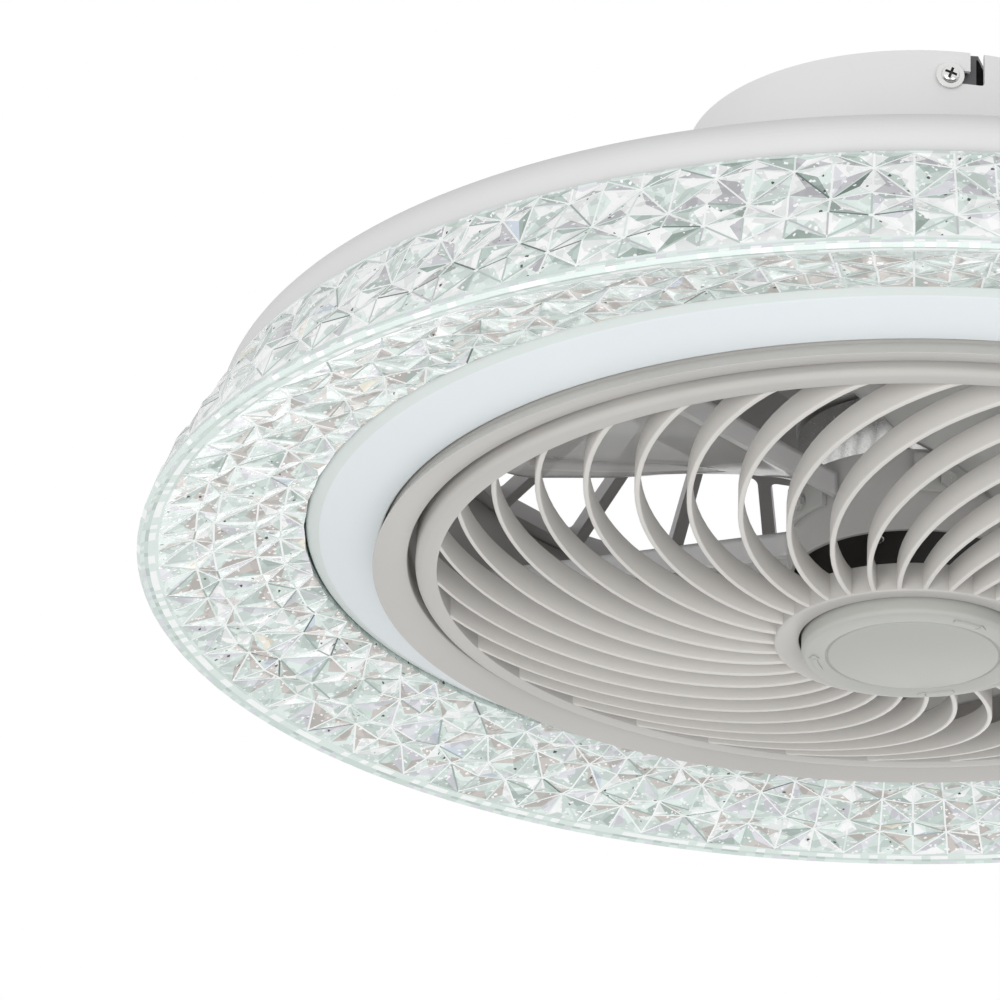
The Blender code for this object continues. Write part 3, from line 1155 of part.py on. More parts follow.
ceiling_bracket()
canopy()
canopy_screws()
canopy_base_screws()
electronics()
leads()
chassis()
housing_shell()
air_shroud()
led_tray()
led_board()
diffuser()
crystal_shade()
bezel_ring()
grille(GRILLE_AXIS)
hub_cap(CAP_AXIS)
motor_base()
bearings()
stator()
rotor(FAN_AXIS)
blade_hub(FAN_AXIS)
blades(FAN_AXIS)
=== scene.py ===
# %% [markdown]
# # Dressing an enclosed ceiling fan
# A ring light with a cut crystal shade hangs flat under the ceiling, and a caged fan turns in
# its middle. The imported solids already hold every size, so this lesson builds the fine surfaces
# over them: turned rings, swept ribs, cut facets, clear blades, and the finish of each.
# Everything stays in the solids' own frame, in metres, with the ceiling at level zero.

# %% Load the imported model
import math
import random

import bmesh
import bpy
from mathutils import Matrix, Vector

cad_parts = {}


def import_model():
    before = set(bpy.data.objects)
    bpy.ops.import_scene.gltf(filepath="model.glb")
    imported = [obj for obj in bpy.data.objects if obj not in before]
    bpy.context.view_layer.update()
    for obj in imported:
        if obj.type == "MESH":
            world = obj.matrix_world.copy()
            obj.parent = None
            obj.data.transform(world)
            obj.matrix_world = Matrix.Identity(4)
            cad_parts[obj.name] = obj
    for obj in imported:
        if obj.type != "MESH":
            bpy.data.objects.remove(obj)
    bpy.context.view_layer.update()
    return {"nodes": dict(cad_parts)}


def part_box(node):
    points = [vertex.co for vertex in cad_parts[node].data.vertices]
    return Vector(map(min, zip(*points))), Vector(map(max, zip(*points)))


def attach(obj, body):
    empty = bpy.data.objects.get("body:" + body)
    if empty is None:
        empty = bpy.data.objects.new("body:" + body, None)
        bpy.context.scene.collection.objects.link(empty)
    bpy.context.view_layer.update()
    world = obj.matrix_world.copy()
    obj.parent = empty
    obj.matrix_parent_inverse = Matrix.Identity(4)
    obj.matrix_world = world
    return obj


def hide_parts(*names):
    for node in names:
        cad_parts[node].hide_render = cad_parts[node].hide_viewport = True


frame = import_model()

MM = 0.001
FIXED, ROTOR, GRILLE_BODY, CAP_BODY = "fixed_body", "rotor", "front_grille", "cap"

# %% [markdown]
# ## Reading sizes from the solids
# Most levels and radii are read from the boxes of the CAD nodes, so a piece sits where its solid
# sits. A turned solid has a corner on the X axis, so the far side of its box is its true radius.

# %% Levels and radii of the solids
def low(node):
    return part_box(node)[0].z


def high(node):
    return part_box(node)[1].z


def radius_of(node):
    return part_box(node)[1].x


print(f"overall: {2 * radius_of('crystal_shade') / MM:.1f} mm across, {-low('hub_cap') / MM:.1f} mm deep")

# %% [markdown]
# ## Finishes
# Moulded plastic is never one flat colour: it has a faint cloudiness and a fine grain in the
# gloss. The same effect serves every plastic and paint here, so it is one node group that takes
# a colour and gives back a varied colour, a roughness and a height for a Bump node. It reads
# Object coordinates, which stay put because every finished piece sits at the origin.

# %% A node group for moulded grain
def add_socket(group, name, kind, way, value=None):
    socket = group.interface.new_socket(name=name, socket_type=kind, in_out=way)
    if value is not None:
        socket.default_value = value


def link(tree, *pairs):
    for source, target in pairs:
        tree.links.new(source, target)


def noise(tree, vector, scale, detail=3.0):
    """Noise texture on the given coordinates."""
    node = tree.nodes.new("ShaderNodeTexNoise")
    node.inputs["Scale"].default_value = scale
    node.inputs["Detail"].default_value = detail
    tree.links.new(vector, node.inputs["Vector"])
    return node


def remap(tree, value, out_low, out_high):
    """Map Range from the noise's usual span to the given one."""
    node = tree.nodes.new("ShaderNodeMapRange")
    for name, number in (("From Min", 0.3), ("From Max", 0.7), ("To Min", out_low), ("To Max", out_high)):
        node.inputs[name].default_value = number
    tree.links.new(value, node.inputs["Value"])
    return node.outputs["Result"]


CLOUD_SCALE = 14.0
GRAIN_SCALE = 900.0


def grain_group():
    group = bpy.data.node_groups.new("moulded_grain", "ShaderNodeTree")
    add_socket(group, "Colour", "NodeSocketColor", "INPUT", (0.8, 0.8, 0.8, 1.0))
    add_socket(group, "Cloud", "NodeSocketFloat", "INPUT", 0.04)
    add_socket(group, "Roughness", "NodeSocketFloat", "INPUT", 0.4)
    add_socket(group, "Colour", "NodeSocketColor", "OUTPUT")
    add_socket(group, "Roughness", "NodeSocketFloat", "OUTPUT")
    add_socket(group, "Height", "NodeSocketFloat", "OUTPUT")
    start = group.nodes.new("NodeGroupInput")
    end = group.nodes.new("NodeGroupOutput")
    place = group.nodes.new("ShaderNodeTexCoord")
    cloud = noise(group, place.outputs["Object"], CLOUD_SCALE)
    grain = noise(group, place.outputs["Object"], GRAIN_SCALE, 2.0)
    swing = remap(group, cloud.outputs["Fac"], -1.0, 1.0)
    amount = group.nodes.new("ShaderNodeMath")
    amount.operation = "MULTIPLY_ADD"
    amount.inputs[2].default_value = 1.0
    tint = group.nodes.new("ShaderNodeMix")
    tint.data_type = "RGBA"
    tint.blend_type = "MULTIPLY"
    tint.inputs["Factor"].default_value = 1.0
    shine = group.nodes.new("ShaderNodeMath")
    shine.operation = "MULTIPLY_ADD"
    shine.inputs[1].default_value = 0.06
    link(group,
         (swing, amount.inputs[0]),
         (start.outputs["Cloud"], amount.inputs[1]),
         (start.outputs["Colour"], tint.inputs["A"]),
         (amount.outputs[0], tint.inputs["B"]),
         (grain.outputs["Fac"], shine.inputs[0]),
         (start.outputs["Roughness"], shine.inputs[2]),
         (tint.outputs["Result"], end.inputs["Colour"]),
         (shine.outputs[0], end.inputs["Roughness"]),
         (grain.outputs["Fac"], end.inputs["Height"]))
    return group


MOULDED_GRAIN = grain_group()
print("node group:", MOULDED_GRAIN.name)

# %% [markdown]
# ## Plastics and paints
# Each finish is a Principled shader fed by the grain group, and its name starts with the name of
# the finish that it stands for. Constant values sit on the shader's own sockets.

# %% Plastic and paint materials
FINISH = "_finish"


def new_material(slot):
    """A new material, named after the slot that it finishes."""
    material = bpy.data.materials.new(slot + FINISH)
    material.use_nodes = True
    return material, material.node_tree, material.node_tree.nodes["Principled BSDF"]


def bump(tree, shader, height, strength, distance):
    node = tree.nodes.new("ShaderNodeBump")
    node.inputs["Strength"].default_value = strength
    node.inputs["Distance"].default_value = distance
    link(tree, (height, node.inputs["Height"]), (node.outputs["Normal"], shader.inputs["Normal"]))


def moulded(name, colour, roughness, cloud=0.03, strength=0.12, **constants):
    """A plastic or paint with faint cloudiness and a fine grain."""
    material, tree, shader = new_material(name)
    grain = tree.nodes.new("ShaderNodeGroup")
    grain.node_tree = MOULDED_GRAIN
    grain.inputs["Colour"].default_value = (*colour, 1.0)
    grain.inputs["Cloud"].default_value = cloud
    grain.inputs["Roughness"].default_value = roughness
    link(tree,
         (grain.outputs["Colour"], shader.inputs["Base Color"]),
         (grain.outputs["Roughness"], shader.inputs["Roughness"]))
    bump(tree, shader, grain.outputs["Height"], strength, 0.1 * MM)
    for socket, value in constants.items():
        shader.inputs[socket.replace("_", " ")].default_value = value
    return material


WHITE_PAINT = moulded("white_paint", (0.79, 0.79, 0.79), 0.40, cloud=0.015, strength=0.05,
                      Specular_IOR_Level=0.2)
# A darker, rougher copy of the same white paint for the housing: matte, and painted shade, so the housing, which
# catches more light than the canopy, reads no brighter than it.
MATTE_SHADED_WHITE_PAINT = moulded("white_paint", (0.665, 0.665, 0.665), 0.50, cloud=0.015, strength=0.05,
                      Specular_IOR_Level=0.15)
MATTE_SHADED_WHITE_PAINT.name += "_matte"
GREIGE = moulded("greige_plastic", (0.485, 0.473, 0.452), 0.45, Specular_IOR_Level=0.3)
# A lighter copy of the greige for the grille's ribs: painted light, lifting them out of the shade inside the ring.
RIB_PAINTED_LIGHT = moulded("greige_rib", (0.60, 0.583, 0.556), 0.45, Specular_IOR_Level=0.3)
CAP_GREIGE = moulded("cap_plastic", (0.42, 0.425, 0.40), 0.45, Specular_IOR_Level=0.3)
SHROUD = moulded("shroud_plastic", (0.30, 0.285, 0.275), 0.50)
MOTOR_GREY = moulded("motor_grey", (0.48, 0.475, 0.465), 0.42)
GREY_STEEL = moulded("grey_steel", (0.40, 0.39, 0.39), 0.45)
MILKY = moulded("milky_diffuser", (0.725, 0.77, 0.79), 0.35, cloud=0.01, strength=0.03)
# A darker, greener copy of the milky plastic for the cover's outer chamfer: painted shade, with a painted
# reflection of the green crystal.
MILKY_LIP_PAINTED_SHADE = moulded("milky_lip", (0.66, 0.71, 0.695), 0.35, cloud=0.01, strength=0.03)
BOX_WHITE = moulded("box_white", (0.78, 0.78, 0.75), 0.45)
BOX_BLACK = moulded("box_black", (0.035, 0.035, 0.035), 0.45)
LEAD_WHITE = moulded("lead_white", (0.74, 0.74, 0.71), 0.50, strength=0.05)
print("plastics and paints:", len(bpy.data.materials))

# %% [markdown]
# ## Metals
# Bright screws and bearings are turned, so fine rings show in their gloss. Zinc-plated sheet has
# the pale patchwork of its crystals, which a Voronoi texture gives. The motor's core is wound
# with enamelled copper, whose strands are a Wave texture.

# %% Metal materials
def metal(name, colour, roughness, texture, scale, strength, metallic=1.0):
    """A metal whose colour and gloss vary with one texture."""
    material, tree, shader = new_material(name)
    place = tree.nodes.new("ShaderNodeTexCoord")
    pattern = tree.nodes.new(texture)
    pattern.inputs["Scale"].default_value = scale
    out = pattern.outputs["Distance" if texture == "ShaderNodeTexVoronoi" else "Fac"]
    ramp = tree.nodes.new("ShaderNodeValToRGB")
    ramp.color_ramp.elements[0].color = (*(c * 0.9 for c in colour), 1.0)
    ramp.color_ramp.elements[1].color = (*colour, 1.0)
    link(tree,
         (place.outputs["Object"], pattern.inputs["Vector"]),
         (out, ramp.inputs["Fac"]),
         (ramp.outputs["Color"], shader.inputs["Base Color"]),
         (remap(tree, out, roughness - 0.06, roughness + 0.06), shader.inputs["Roughness"]))
    bump(tree, shader, out, strength, 0.05 * MM)
    shader.inputs["Metallic"].default_value = metallic
    return material


BRIGHT_STEEL = metal("bright_steel", (0.78, 0.78, 0.77), 0.22, "ShaderNodeTexNoise", 1500.0, 0.1)
ZINC = metal("zinc_steel", (0.68, 0.69, 0.70), 0.38, "ShaderNodeTexVoronoi", 160.0, 0.05)
# A near-black copy of the zinc for the bracket: painted shade, for the dark seen through the canopy's slots.
ZINC_PAINTED_SHADE = metal("zinc_steel", (0.13, 0.13, 0.135), 0.50, "ShaderNodeTexVoronoi", 160.0, 0.05)
ZINC_PAINTED_SHADE.name += "_dark"
COPPER = metal("copper_coils", (0.62, 0.28, 0.13), 0.35, "ShaderNodeTexWave", 900.0, 0.6, 0.9)
DARK_MAGNET = metal("dark_magnet", (0.10, 0.10, 0.11), 0.50, "ShaderNodeTexNoise", 700.0, 0.2, 0.0)
BOARD = metal("circuit_board", (0.84, 0.84, 0.82), 0.45, "ShaderNodeTexNoise", 300.0, 0.1, 0.0)
print("metals:", ", ".join(m.name for m in (BRIGHT_STEEL, ZINC, COPPER, DARK_MAGNET)))

# %% [markdown]
# ## Clear plastics
# The blades are thin smoky sheet, with a darker cut edge, so a sheet, its edge and its bead are
# three shades of one material, and a lighter fourth on the upright lip is a painted reflection.
# The crystal is clear acrylic: light enters each cut facet at another angle, so neighbours look
# white, mint, lilac-grey or warm, and that light is painted as tints. A value per face, stored on
# the mesh, picks each facet's tint from a colour ramp. A Voronoi texture breaks the tints into
# the small splinters that are really the facets of the far side, seen through the near one, and
# sprinkles painted glints and painted dark reflections among them.

# %% Smoky blades and crystal
SPLINTER_SCALES = (260.0, 1100.0)
SPLINTER_SHADE = (0.84, 1.08)
# Shares of the fine splinters painted as white glints (painted highlights) and as dark reflections
GLINT_SHARE, DARK_REFLECTION_SHARE = 0.06, 0.004
CRYSTAL_CLEARNESS = 0.12
CRYSTAL_TINTS = {
    "white": (0.97, 1.0, 0.99), "pale_mint": (0.76, 0.85, 0.815), "mint": (0.65, 0.745, 0.705),
    "grey_mint": (0.51, 0.60, 0.565), "grey_green": (0.37, 0.45, 0.415), "lilac_white": (0.74, 0.745, 0.79),
    "lilac_grey": (0.56, 0.56, 0.59), "warm_grey": (0.60, 0.565, 0.535), "deep_green": (0.15, 0.20, 0.18),
    "sky_blue": (0.64, 0.71, 0.80), "straw": (0.86, 0.82, 0.70),
}
TINT_NAMES = tuple(CRYSTAL_TINTS)


def tint_mark(name):
    """The face value that picks a tint."""
    return (TINT_NAMES.index(name) + 0.5) / len(TINT_NAMES)


def smoky(name, colour, clearness, roughness):
    material, tree, shader = new_material(name)
    place = tree.nodes.new("ShaderNodeTexCoord")
    cloud = noise(tree, place.outputs["Object"], CLOUD_SCALE * 2)
    ramp = tree.nodes.new("ShaderNodeValToRGB")
    ramp.color_ramp.elements[0].color = (*(c * 0.93 for c in colour), 1.0)
    ramp.color_ramp.elements[1].color = (*colour, 1.0)
    link(tree,
         (cloud.outputs["Fac"], ramp.inputs["Fac"]),
         (ramp.outputs["Color"], shader.inputs["Base Color"]),
         (remap(tree, cloud.outputs["Fac"], roughness, roughness + 0.06), shader.inputs["Roughness"]))
    shader.inputs["Alpha"].default_value = 1.0 - clearness
    return material


def mixed(tree, blend, factor, first, second):
    """A colour mix of two sockets or colours, by a socket or a value."""
    node = tree.nodes.new("ShaderNodeMix")
    node.data_type = "RGBA"
    node.blend_type = blend
    node.clamp_result = True
    for name, value in (("Factor", factor), ("A", first), ("B", second)):
        if isinstance(value, bpy.types.NodeSocket):
            tree.links.new(value, node.inputs[name])
        else:
            node.inputs[name].default_value = value
    return node.outputs["Result"]


def splinters(tree, place, scale):
    """The random colour of each cell of a Voronoi, as three values."""
    cells = tree.nodes.new("ShaderNodeTexVoronoi")
    cells.inputs["Scale"].default_value = scale
    parts = tree.nodes.new("ShaderNodeSeparateColor")
    link(tree, (place.outputs["Object"], cells.inputs["Vector"]), (cells.outputs["Color"], parts.inputs["Color"]))
    return parts.outputs


def above(tree, value, limit):
    node = tree.nodes.new("ShaderNodeMath")
    node.operation = "GREATER_THAN"
    node.inputs[1].default_value = limit
    link(tree, (value, node.inputs[0]))
    return node.outputs["Value"]


def cut_sparkle():
    """Shared group: break a tint into splinters, with a few painted white glints and painted dark reflections."""
    tree = bpy.data.node_groups.new("cut_sparkle", "ShaderNodeTree")
    tree.interface.new_socket("Tint", in_out="INPUT", socket_type="NodeSocketColor")
    tree.interface.new_socket("Colour", in_out="OUTPUT", socket_type="NodeSocketColor")
    tree.interface.new_socket("Roughness", in_out="OUTPUT", socket_type="NodeSocketFloat")
    entry, leave = tree.nodes.new("NodeGroupInput"), tree.nodes.new("NodeGroupOutput")
    place = tree.nodes.new("ShaderNodeTexCoord")
    coarse, fine = (splinters(tree, place, scale) for scale in SPLINTER_SCALES)
    shade = remap(tree, coarse["Red"], *SPLINTER_SHADE)
    colour = mixed(tree, "MULTIPLY", 1.0, entry.outputs["Tint"], shade)
    # Painted highlights: white glints on a share of the fine cells.
    colour = mixed(tree, "MIX", above(tree, fine["Red"], 1 - GLINT_SHARE), colour, (1.0, 1.0, 1.0, 1.0))
    # Painted dark reflections on a few of the fine cells.
    colour = mixed(tree, "MIX", above(tree, fine["Green"], 1 - DARK_REFLECTION_SHARE), colour, (0.09, 0.09, 0.085, 1.0))
    link(tree, (colour, leave.inputs["Colour"]),
         (remap(tree, coarse["Green"], 0.10, 0.22), leave.inputs["Roughness"]))
    return tree


def tint_ramp(tree):
    """Each face's own tint, picked from a ramp by the value on the mesh."""
    facet = tree.nodes.new("ShaderNodeAttribute")
    facet.attribute_name = "facet"
    ramp = tree.nodes.new("ShaderNodeValToRGB")
    ramp.color_ramp.interpolation = "CONSTANT"
    stops = ramp.color_ramp.elements
    while len(stops) < len(TINT_NAMES):
        stops.new(1.0)
    for number, (stop, tint) in enumerate(zip(stops, CRYSTAL_TINTS.values())):
        stop.position = number / len(TINT_NAMES)
        stop.color = (*tint, 1.0)
    link(tree, (facet.outputs["Fac"], ramp.inputs["Fac"]))
    return ramp.outputs["Color"]


def crystal_acrylic(name, group=None):
    """Clear acrylic: with the group for the facets, and plain for the narrow rays and the rim."""
    material, tree, shader = new_material(name)
    colour = tint_ramp(tree)
    if group:
        sparkle = tree.nodes.new("ShaderNodeGroup")
        sparkle.node_tree = group
        link(tree, (colour, sparkle.inputs["Tint"]), (sparkle.outputs["Roughness"], shader.inputs["Roughness"]))
        colour = sparkle.outputs["Colour"]
    link(tree, (colour, shader.inputs["Base Color"]))
    for socket, value in (("Transmission Weight", CRYSTAL_CLEARNESS), ("IOR", 1.49), ("Specular IOR Level", 0.2)):
        shader.inputs[socket].default_value = value
    return material


SMOKE = smoky("smoky_blade", (0.60, 0.60, 0.585), 0.28, 0.06)
SMOKE_EDGE = smoky("blade_edge", (0.17, 0.17, 0.165), 0.10, 0.20)
SMOKE_BEAD = smoky("blade_bead", (0.47, 0.46, 0.45), 0.20, 0.08)
# A lighter copy of the smoky sheet for the upright lip: a painted reflection of the bright room.
SMOKE_LIP_PAINTED_REFLECTION = smoky("blade_lip", (0.72, 0.715, 0.72), 0.15, 0.05)
CRYSTAL = crystal_acrylic("crystal_acrylic", cut_sparkle())
CRYSTAL_RAY = crystal_acrylic("crystal_ray")
print("crystal tints:", len(CRYSTAL_TINTS))

# %% [markdown]
# ## Turning
# Nearly every piece of this fan is round, so one helper does most of the work. It draws half an
# outline as loose edges, rounds its corners with a vertex bevel, and spins it a full turn. The
# bevel comes before the spin because a few points are quicker to round than a thousand edges.

# %% Helpers that turn an outline and place the finished piece
MERGE = 0.001 * MM
RING_SIDES = 256
SMALL_SIDES = 48
SHARP = math.radians(35.0)


def turned(outline, sides=RING_SIDES, rounding=0.4 * MM, steps=2):
    """Spin an outline of (radius, level) points; it may start and end on the axis."""
    bm = bmesh.new()
    verts = [bm.verts.new((radius, 0, level)) for radius, level in outline]
    for pair in zip(verts, verts[1:]):
        bm.edges.new(pair)
    if outline[0][0] > 0:
        bm.edges.new((verts[-1], verts[0]))
    corners = [vert for vert in verts if vert.co.x > 0]
    if rounding:
        bmesh.ops.bevel(bm, geom=corners, offset=rounding, segments=steps, profile=0.5,
                        affect="VERTICES", clamp_overlap=True, material=-1)
    bmesh.ops.spin(bm, geom=bm.verts[:] + bm.edges[:], cent=(0, 0, 0), axis=(0, 0, 1),
                   angle=math.tau, steps=sides, use_merge=True)
    bmesh.ops.remove_doubles(bm, verts=bm.verts, dist=MERGE)
    bmesh.ops.recalc_face_normals(bm, faces=bm.faces)
    return bm


def made(name, bm, material, smooth=True):
    """Turn a bmesh into a mesh object at the origin."""
    mesh = bpy.data.meshes.new(name)
    bm.to_mesh(mesh)
    bm.free()
    mesh.materials.append(material)
    if smooth:
        mesh.shade_smooth()
    mesh.set_sharp_from_angle(angle=SHARP)
    thing = bpy.data.objects.new(name, mesh)
    bpy.context.scene.collection.objects.link(thing)
    return thing


def stand_for(thing, body, *nodes):
    """Let a piece ride on its body, and stand for its solids."""
    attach(thing, body)
    thing.data.materials[0].name.split(FINISH)[0]
    if nodes:
        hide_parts(*nodes)
    print(f"{thing.name}: {len(thing.data.polygons)} faces")
    return thing


def fit(name, bm, material, body, *nodes):
    """Make a smooth piece in its place on its body."""
    return stand_for(made(name, bm, material), body, *nodes)


def joined(*parts):
    """One bmesh that holds several."""
    whole = bmesh.new()
    for part in parts:
        mesh = bpy.data.meshes.new("part")
        part.to_mesh(mesh)
        part.free()
        whole.from_mesh(mesh)
        bpy.data.meshes.remove(mesh)
    return whole


def carved(bm, *cutters):
    """Cut each body from the first at once, so no cutter stays in the scene."""
    target = made("target", bm, WHITE_PAINT)
    tools = [made("cutter", cutter, WHITE_PAINT) for cutter in cutters]
    for tool in tools:
        modifier = target.modifiers.new("cut", "BOOLEAN")
        modifier.operation = "DIFFERENCE"
        modifier.solver = "EXACT"
        modifier.object = tool
    graph = bpy.context.evaluated_depsgraph_get()
    result = bmesh.new()
    result.from_mesh(target.evaluated_get(graph).data)
    for thing in (target, *tools):
        mesh = thing.data
        bpy.data.objects.remove(thing)
        bpy.data.meshes.remove(mesh)
    return result


def moved(bm, matrix):
    bmesh.ops.transform(bm, matrix=matrix, verts=bm.verts)
    return bm


def around(bm, count):
    """Repeat a shape round the fan's axis."""
    bmesh.ops.spin(bm, geom=bm.verts[:] + bm.edges[:] + bm.faces[:], cent=(0, 0, 0), axis=(0, 0, 1),
                   angle=math.tau * (count - 1) / count, steps=count - 1, use_duplicate=True)
    return bm


def block(size, centre, turn=0.0, rounding=0.0):
    """A box with rounded edges, at a place turned about the axis."""
    bm = bmesh.new()
    bmesh.ops.create_cube(bm, size=1.0)
    bmesh.ops.scale(bm, vec=size, verts=bm.verts)
    if rounding:
        bmesh.ops.bevel(bm, geom=bm.edges[:], offset=rounding, segments=3, profile=0.5,
                        affect="EDGES", clamp_overlap=True, material=-1)
    return moved(bm, Matrix.Rotation(turn, 4, "Z") @ Matrix.Translation(centre))


def bent_block(inner, outer, base, top, start, spread, rounding=0.3 * MM):
    """A block bent round the axis, with a rounded section, from a start azimuth over a spread."""
    bm = bmesh.new()
    corners = [bm.verts.new((radius, 0, level))
               for radius, level in ((inner, base), (outer, base), (outer, top), (inner, top))]
    bm.faces.new(corners)
    bmesh.ops.bevel(bm, geom=corners, offset=rounding, segments=2, profile=0.5, affect="VERTICES",
                    clamp_overlap=True, material=-1)
    bmesh.ops.spin(bm, geom=bm.faces[:], cent=(0, 0, 0), axis=(0, 0, 1), angle=spread,
                   steps=max(3, round(spread / BEND_STEP)))
    bmesh.ops.recalc_face_normals(bm, faces=bm.faces)
    return moved(bm, Matrix.Rotation(start, 4, "Z"))


def polar(radius, azimuth, level=0.0):
    return Vector((radius * math.cos(azimuth), radius * math.sin(azimuth), level))


BEND_STEP = math.radians(1.5)
print("turned pieces have", RING_SIDES, "sides")

# %% [markdown]
# ## Canopy
# A white drum hides the ceiling bracket. Each side screw passes an L-shaped slot: the canopy is
# pushed up, turned and pinched tight. The slots are cut with a Boolean, because a slot through a
# thin curved wall has no neat edge loop to work with. The inner faces get a second, near-black
# material: painted shade, for the dark inside of the drum.

# %% Canopy drum
CANOPY_WALL = 1.5 * MM
CABLE_HOLE = 8.0 * MM
SLOT_WIDTH = 4.7 * MM
SLOT_CORNER = 1.2 * MM
BRACKET_AZIMUTH = math.radians(-81.4)
SLOT_SHIFT = math.radians(6.9)
SCREW_DROP = 9.3 * MM
CANOPY_RADIUS = radius_of("canopy")
CANOPY_TOP = high("canopy")
CANOPY_FLOOR = low("canopy")
SCREW_LEVEL = CANOPY_TOP - SCREW_DROP
# Near-black for faces that lie in the dark: painted shade.
INSIDE_PAINTED_SHADE = moulded("inside_dark", (0.045, 0.045, 0.045), 0.55)


def slot_cutters(azimuth):
    """Upright, foot and round end of one L-shaped slot."""
    reach = 4 * CANOPY_WALL
    inside = CANOPY_RADIUS - CANOPY_WALL
    tall = SCREW_DROP + SLOT_WIDTH
    upright = block((reach, SLOT_WIDTH, tall), (inside, 0, SCREW_LEVEL + tall / 2 - SLOT_WIDTH / 2),
                    azimuth + SLOT_SHIFT, SLOT_CORNER)
    length = CANOPY_RADIUS * SLOT_SHIFT
    foot = block((reach, length, SLOT_WIDTH), (inside, length / 2, SCREW_LEVEL), azimuth)
    end = bmesh.new()
    bmesh.ops.create_cone(end, cap_ends=True, segments=SMALL_SIDES, radius1=SLOT_WIDTH / 2,
                          radius2=SLOT_WIDTH / 2, depth=reach)
    lie = Matrix.Translation((inside, 0, SCREW_LEVEL)) @ Matrix.Rotation(math.pi / 2, 4, "Y")
    return upright, foot, moved(end, Matrix.Rotation(azimuth, 4, "Z") @ lie)


def screw_hole(x, y, base, top):
    """A round cutter for one small screw."""
    bm = bmesh.new()
    bmesh.ops.create_cone(bm, cap_ends=True, segments=SMALL_SIDES // 2, radius1=SHANK_RADIUS * 1.2,
                          radius2=SHANK_RADIUS * 1.2, depth=top - base)
    return moved(bm, Matrix.Translation((x, y, (base + top) / 2)))


def screw_place(node):
    near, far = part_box(node)
    return (near.x + far.x) / 2, (near.y + far.y) / 2


def canopy():
    inner = CANOPY_RADIUS - CANOPY_WALL
    floor = CANOPY_FLOOR + CANOPY_WALL
    drum = turned([(CABLE_HOLE, CANOPY_FLOOR), (CANOPY_RADIUS, CANOPY_FLOOR), (CANOPY_RADIUS, CANOPY_TOP),
                   (inner, CANOPY_TOP), (inner, floor), (CABLE_HOLE, floor)], 192, rounding=0.6 * MM)
    holes = [screw_hole(*screw_place(f"base_screw_{n}"), CANOPY_FLOOR - CANOPY_WALL, floor + CANOPY_WALL)
             for n in (1, 2, 3)]
    cutters = slot_cutters(BRACKET_AZIMUTH) + slot_cutters(BRACKET_AZIMUTH + math.pi)
    thing = fit("canopy_drum", carved(drum, *cutters, *holes), WHITE_PAINT, FIXED, "canopy")
    thing.data.materials.append(INSIDE_PAINTED_SHADE)
    # The inner faces and the top of the floor take the near-black second material: painted shade.
    for face in thing.data.polygons:
        inward = face.normal.xy.dot(face.center.xy) < 0 and face.center.xy.length < inner + CANOPY_WALL / 3
        if inward or face.center.z > floor - CANOPY_WALL / 3 and face.center.xy.length < inner:
            face.material_index = 1


SHANK_RADIUS = 1.5 * MM
canopy()

# %% [markdown]
# ## Screws
# All the small screws are the same: a low round head with a cross recess. The recess is two thin
# boxes cut from one head, which is then copied: a Boolean is slow, a copy is not. Each copy is
# laid on its solid's own place and direction and gets a shank of its own length.

# %% Screw heads
HEAD_RADIUS = 2.9 * MM
HEAD_HEIGHT = 1.6 * MM
CROSS = (4.0 * MM, 0.9 * MM, 2.2 * MM)


def screw_head(radius, height, flange=None):
    """A head that faces down, with its seat at level zero and a cross recess."""
    outline = [(0, -height), (radius * 0.55, -height), (radius * 0.86, -height * 0.72), (radius, -height * 0.3)]
    if flange:
        wide, thick = flange
        outline = [(across, level - thick) for across, level in outline]
        outline += [(radius, -thick), (wide, -thick), (wide, 0)]
    else:
        outline += [(radius, 0)]
    long, thin, deep = CROSS
    top = outline[0][1]
    bars = (block((long, thin, deep), (0, 0, top)), block((thin, long, deep), (0, 0, top)))
    head = carved(turned(outline + [(0, 0)], SMALL_SIDES, 0.15 * MM), *bars)
    # The faces inside the cross recess take the second, near-black material: painted shade, as the recess lies in
    # its own shadow.
    for face in head.faces:
        x, y, level = face.calc_center_median()
        along, across = max(abs(x), abs(y)), min(abs(x), abs(y))
        in_cross = across < thin / 2 + MERGE and along < long / 2 + MERGE
        if in_cross and top + MERGE < level < top + deep / 2 + MERGE:
            face.material_index = 1
    return head


def with_shank(head, radius, length):
    """A copy of the head on a plain shank that points up."""
    return joined(head.copy(), turned([(0, -0.2 * MM), (radius, -0.2 * MM), (radius, length), (0, length)],
                                      SMALL_SIDES, 0.3 * MM))


def canopy_screws():
    head = screw_head(3.0 * MM, 1.6 * MM, flange=(4.6 * MM, 0.8 * MM))
    for number, azimuth in enumerate((BRACKET_AZIMUTH, BRACKET_AZIMUTH + math.pi), 1):
        inward = Matrix.Rotation(azimuth, 4, "Z") @ Matrix.Rotation(-math.pi / 2, 4, "Y")
        place = Matrix.Translation(polar(CANOPY_RADIUS + 0.3 * MM, azimuth, SCREW_LEVEL))
        turn = Matrix.Rotation(math.radians(20.0), 4, "Z")
        bm = moved(with_shank(head, 2.0 * MM, 9.0 * MM), place @ inward @ turn)
        thing = fit(f"canopy_fixing_{number}", bm, BRIGHT_STEEL, FIXED, f"canopy_screw_{number}")
        # The near-black second material for the recess: painted shade.
        thing.data.materials.append(INSIDE_PAINTED_SHADE)


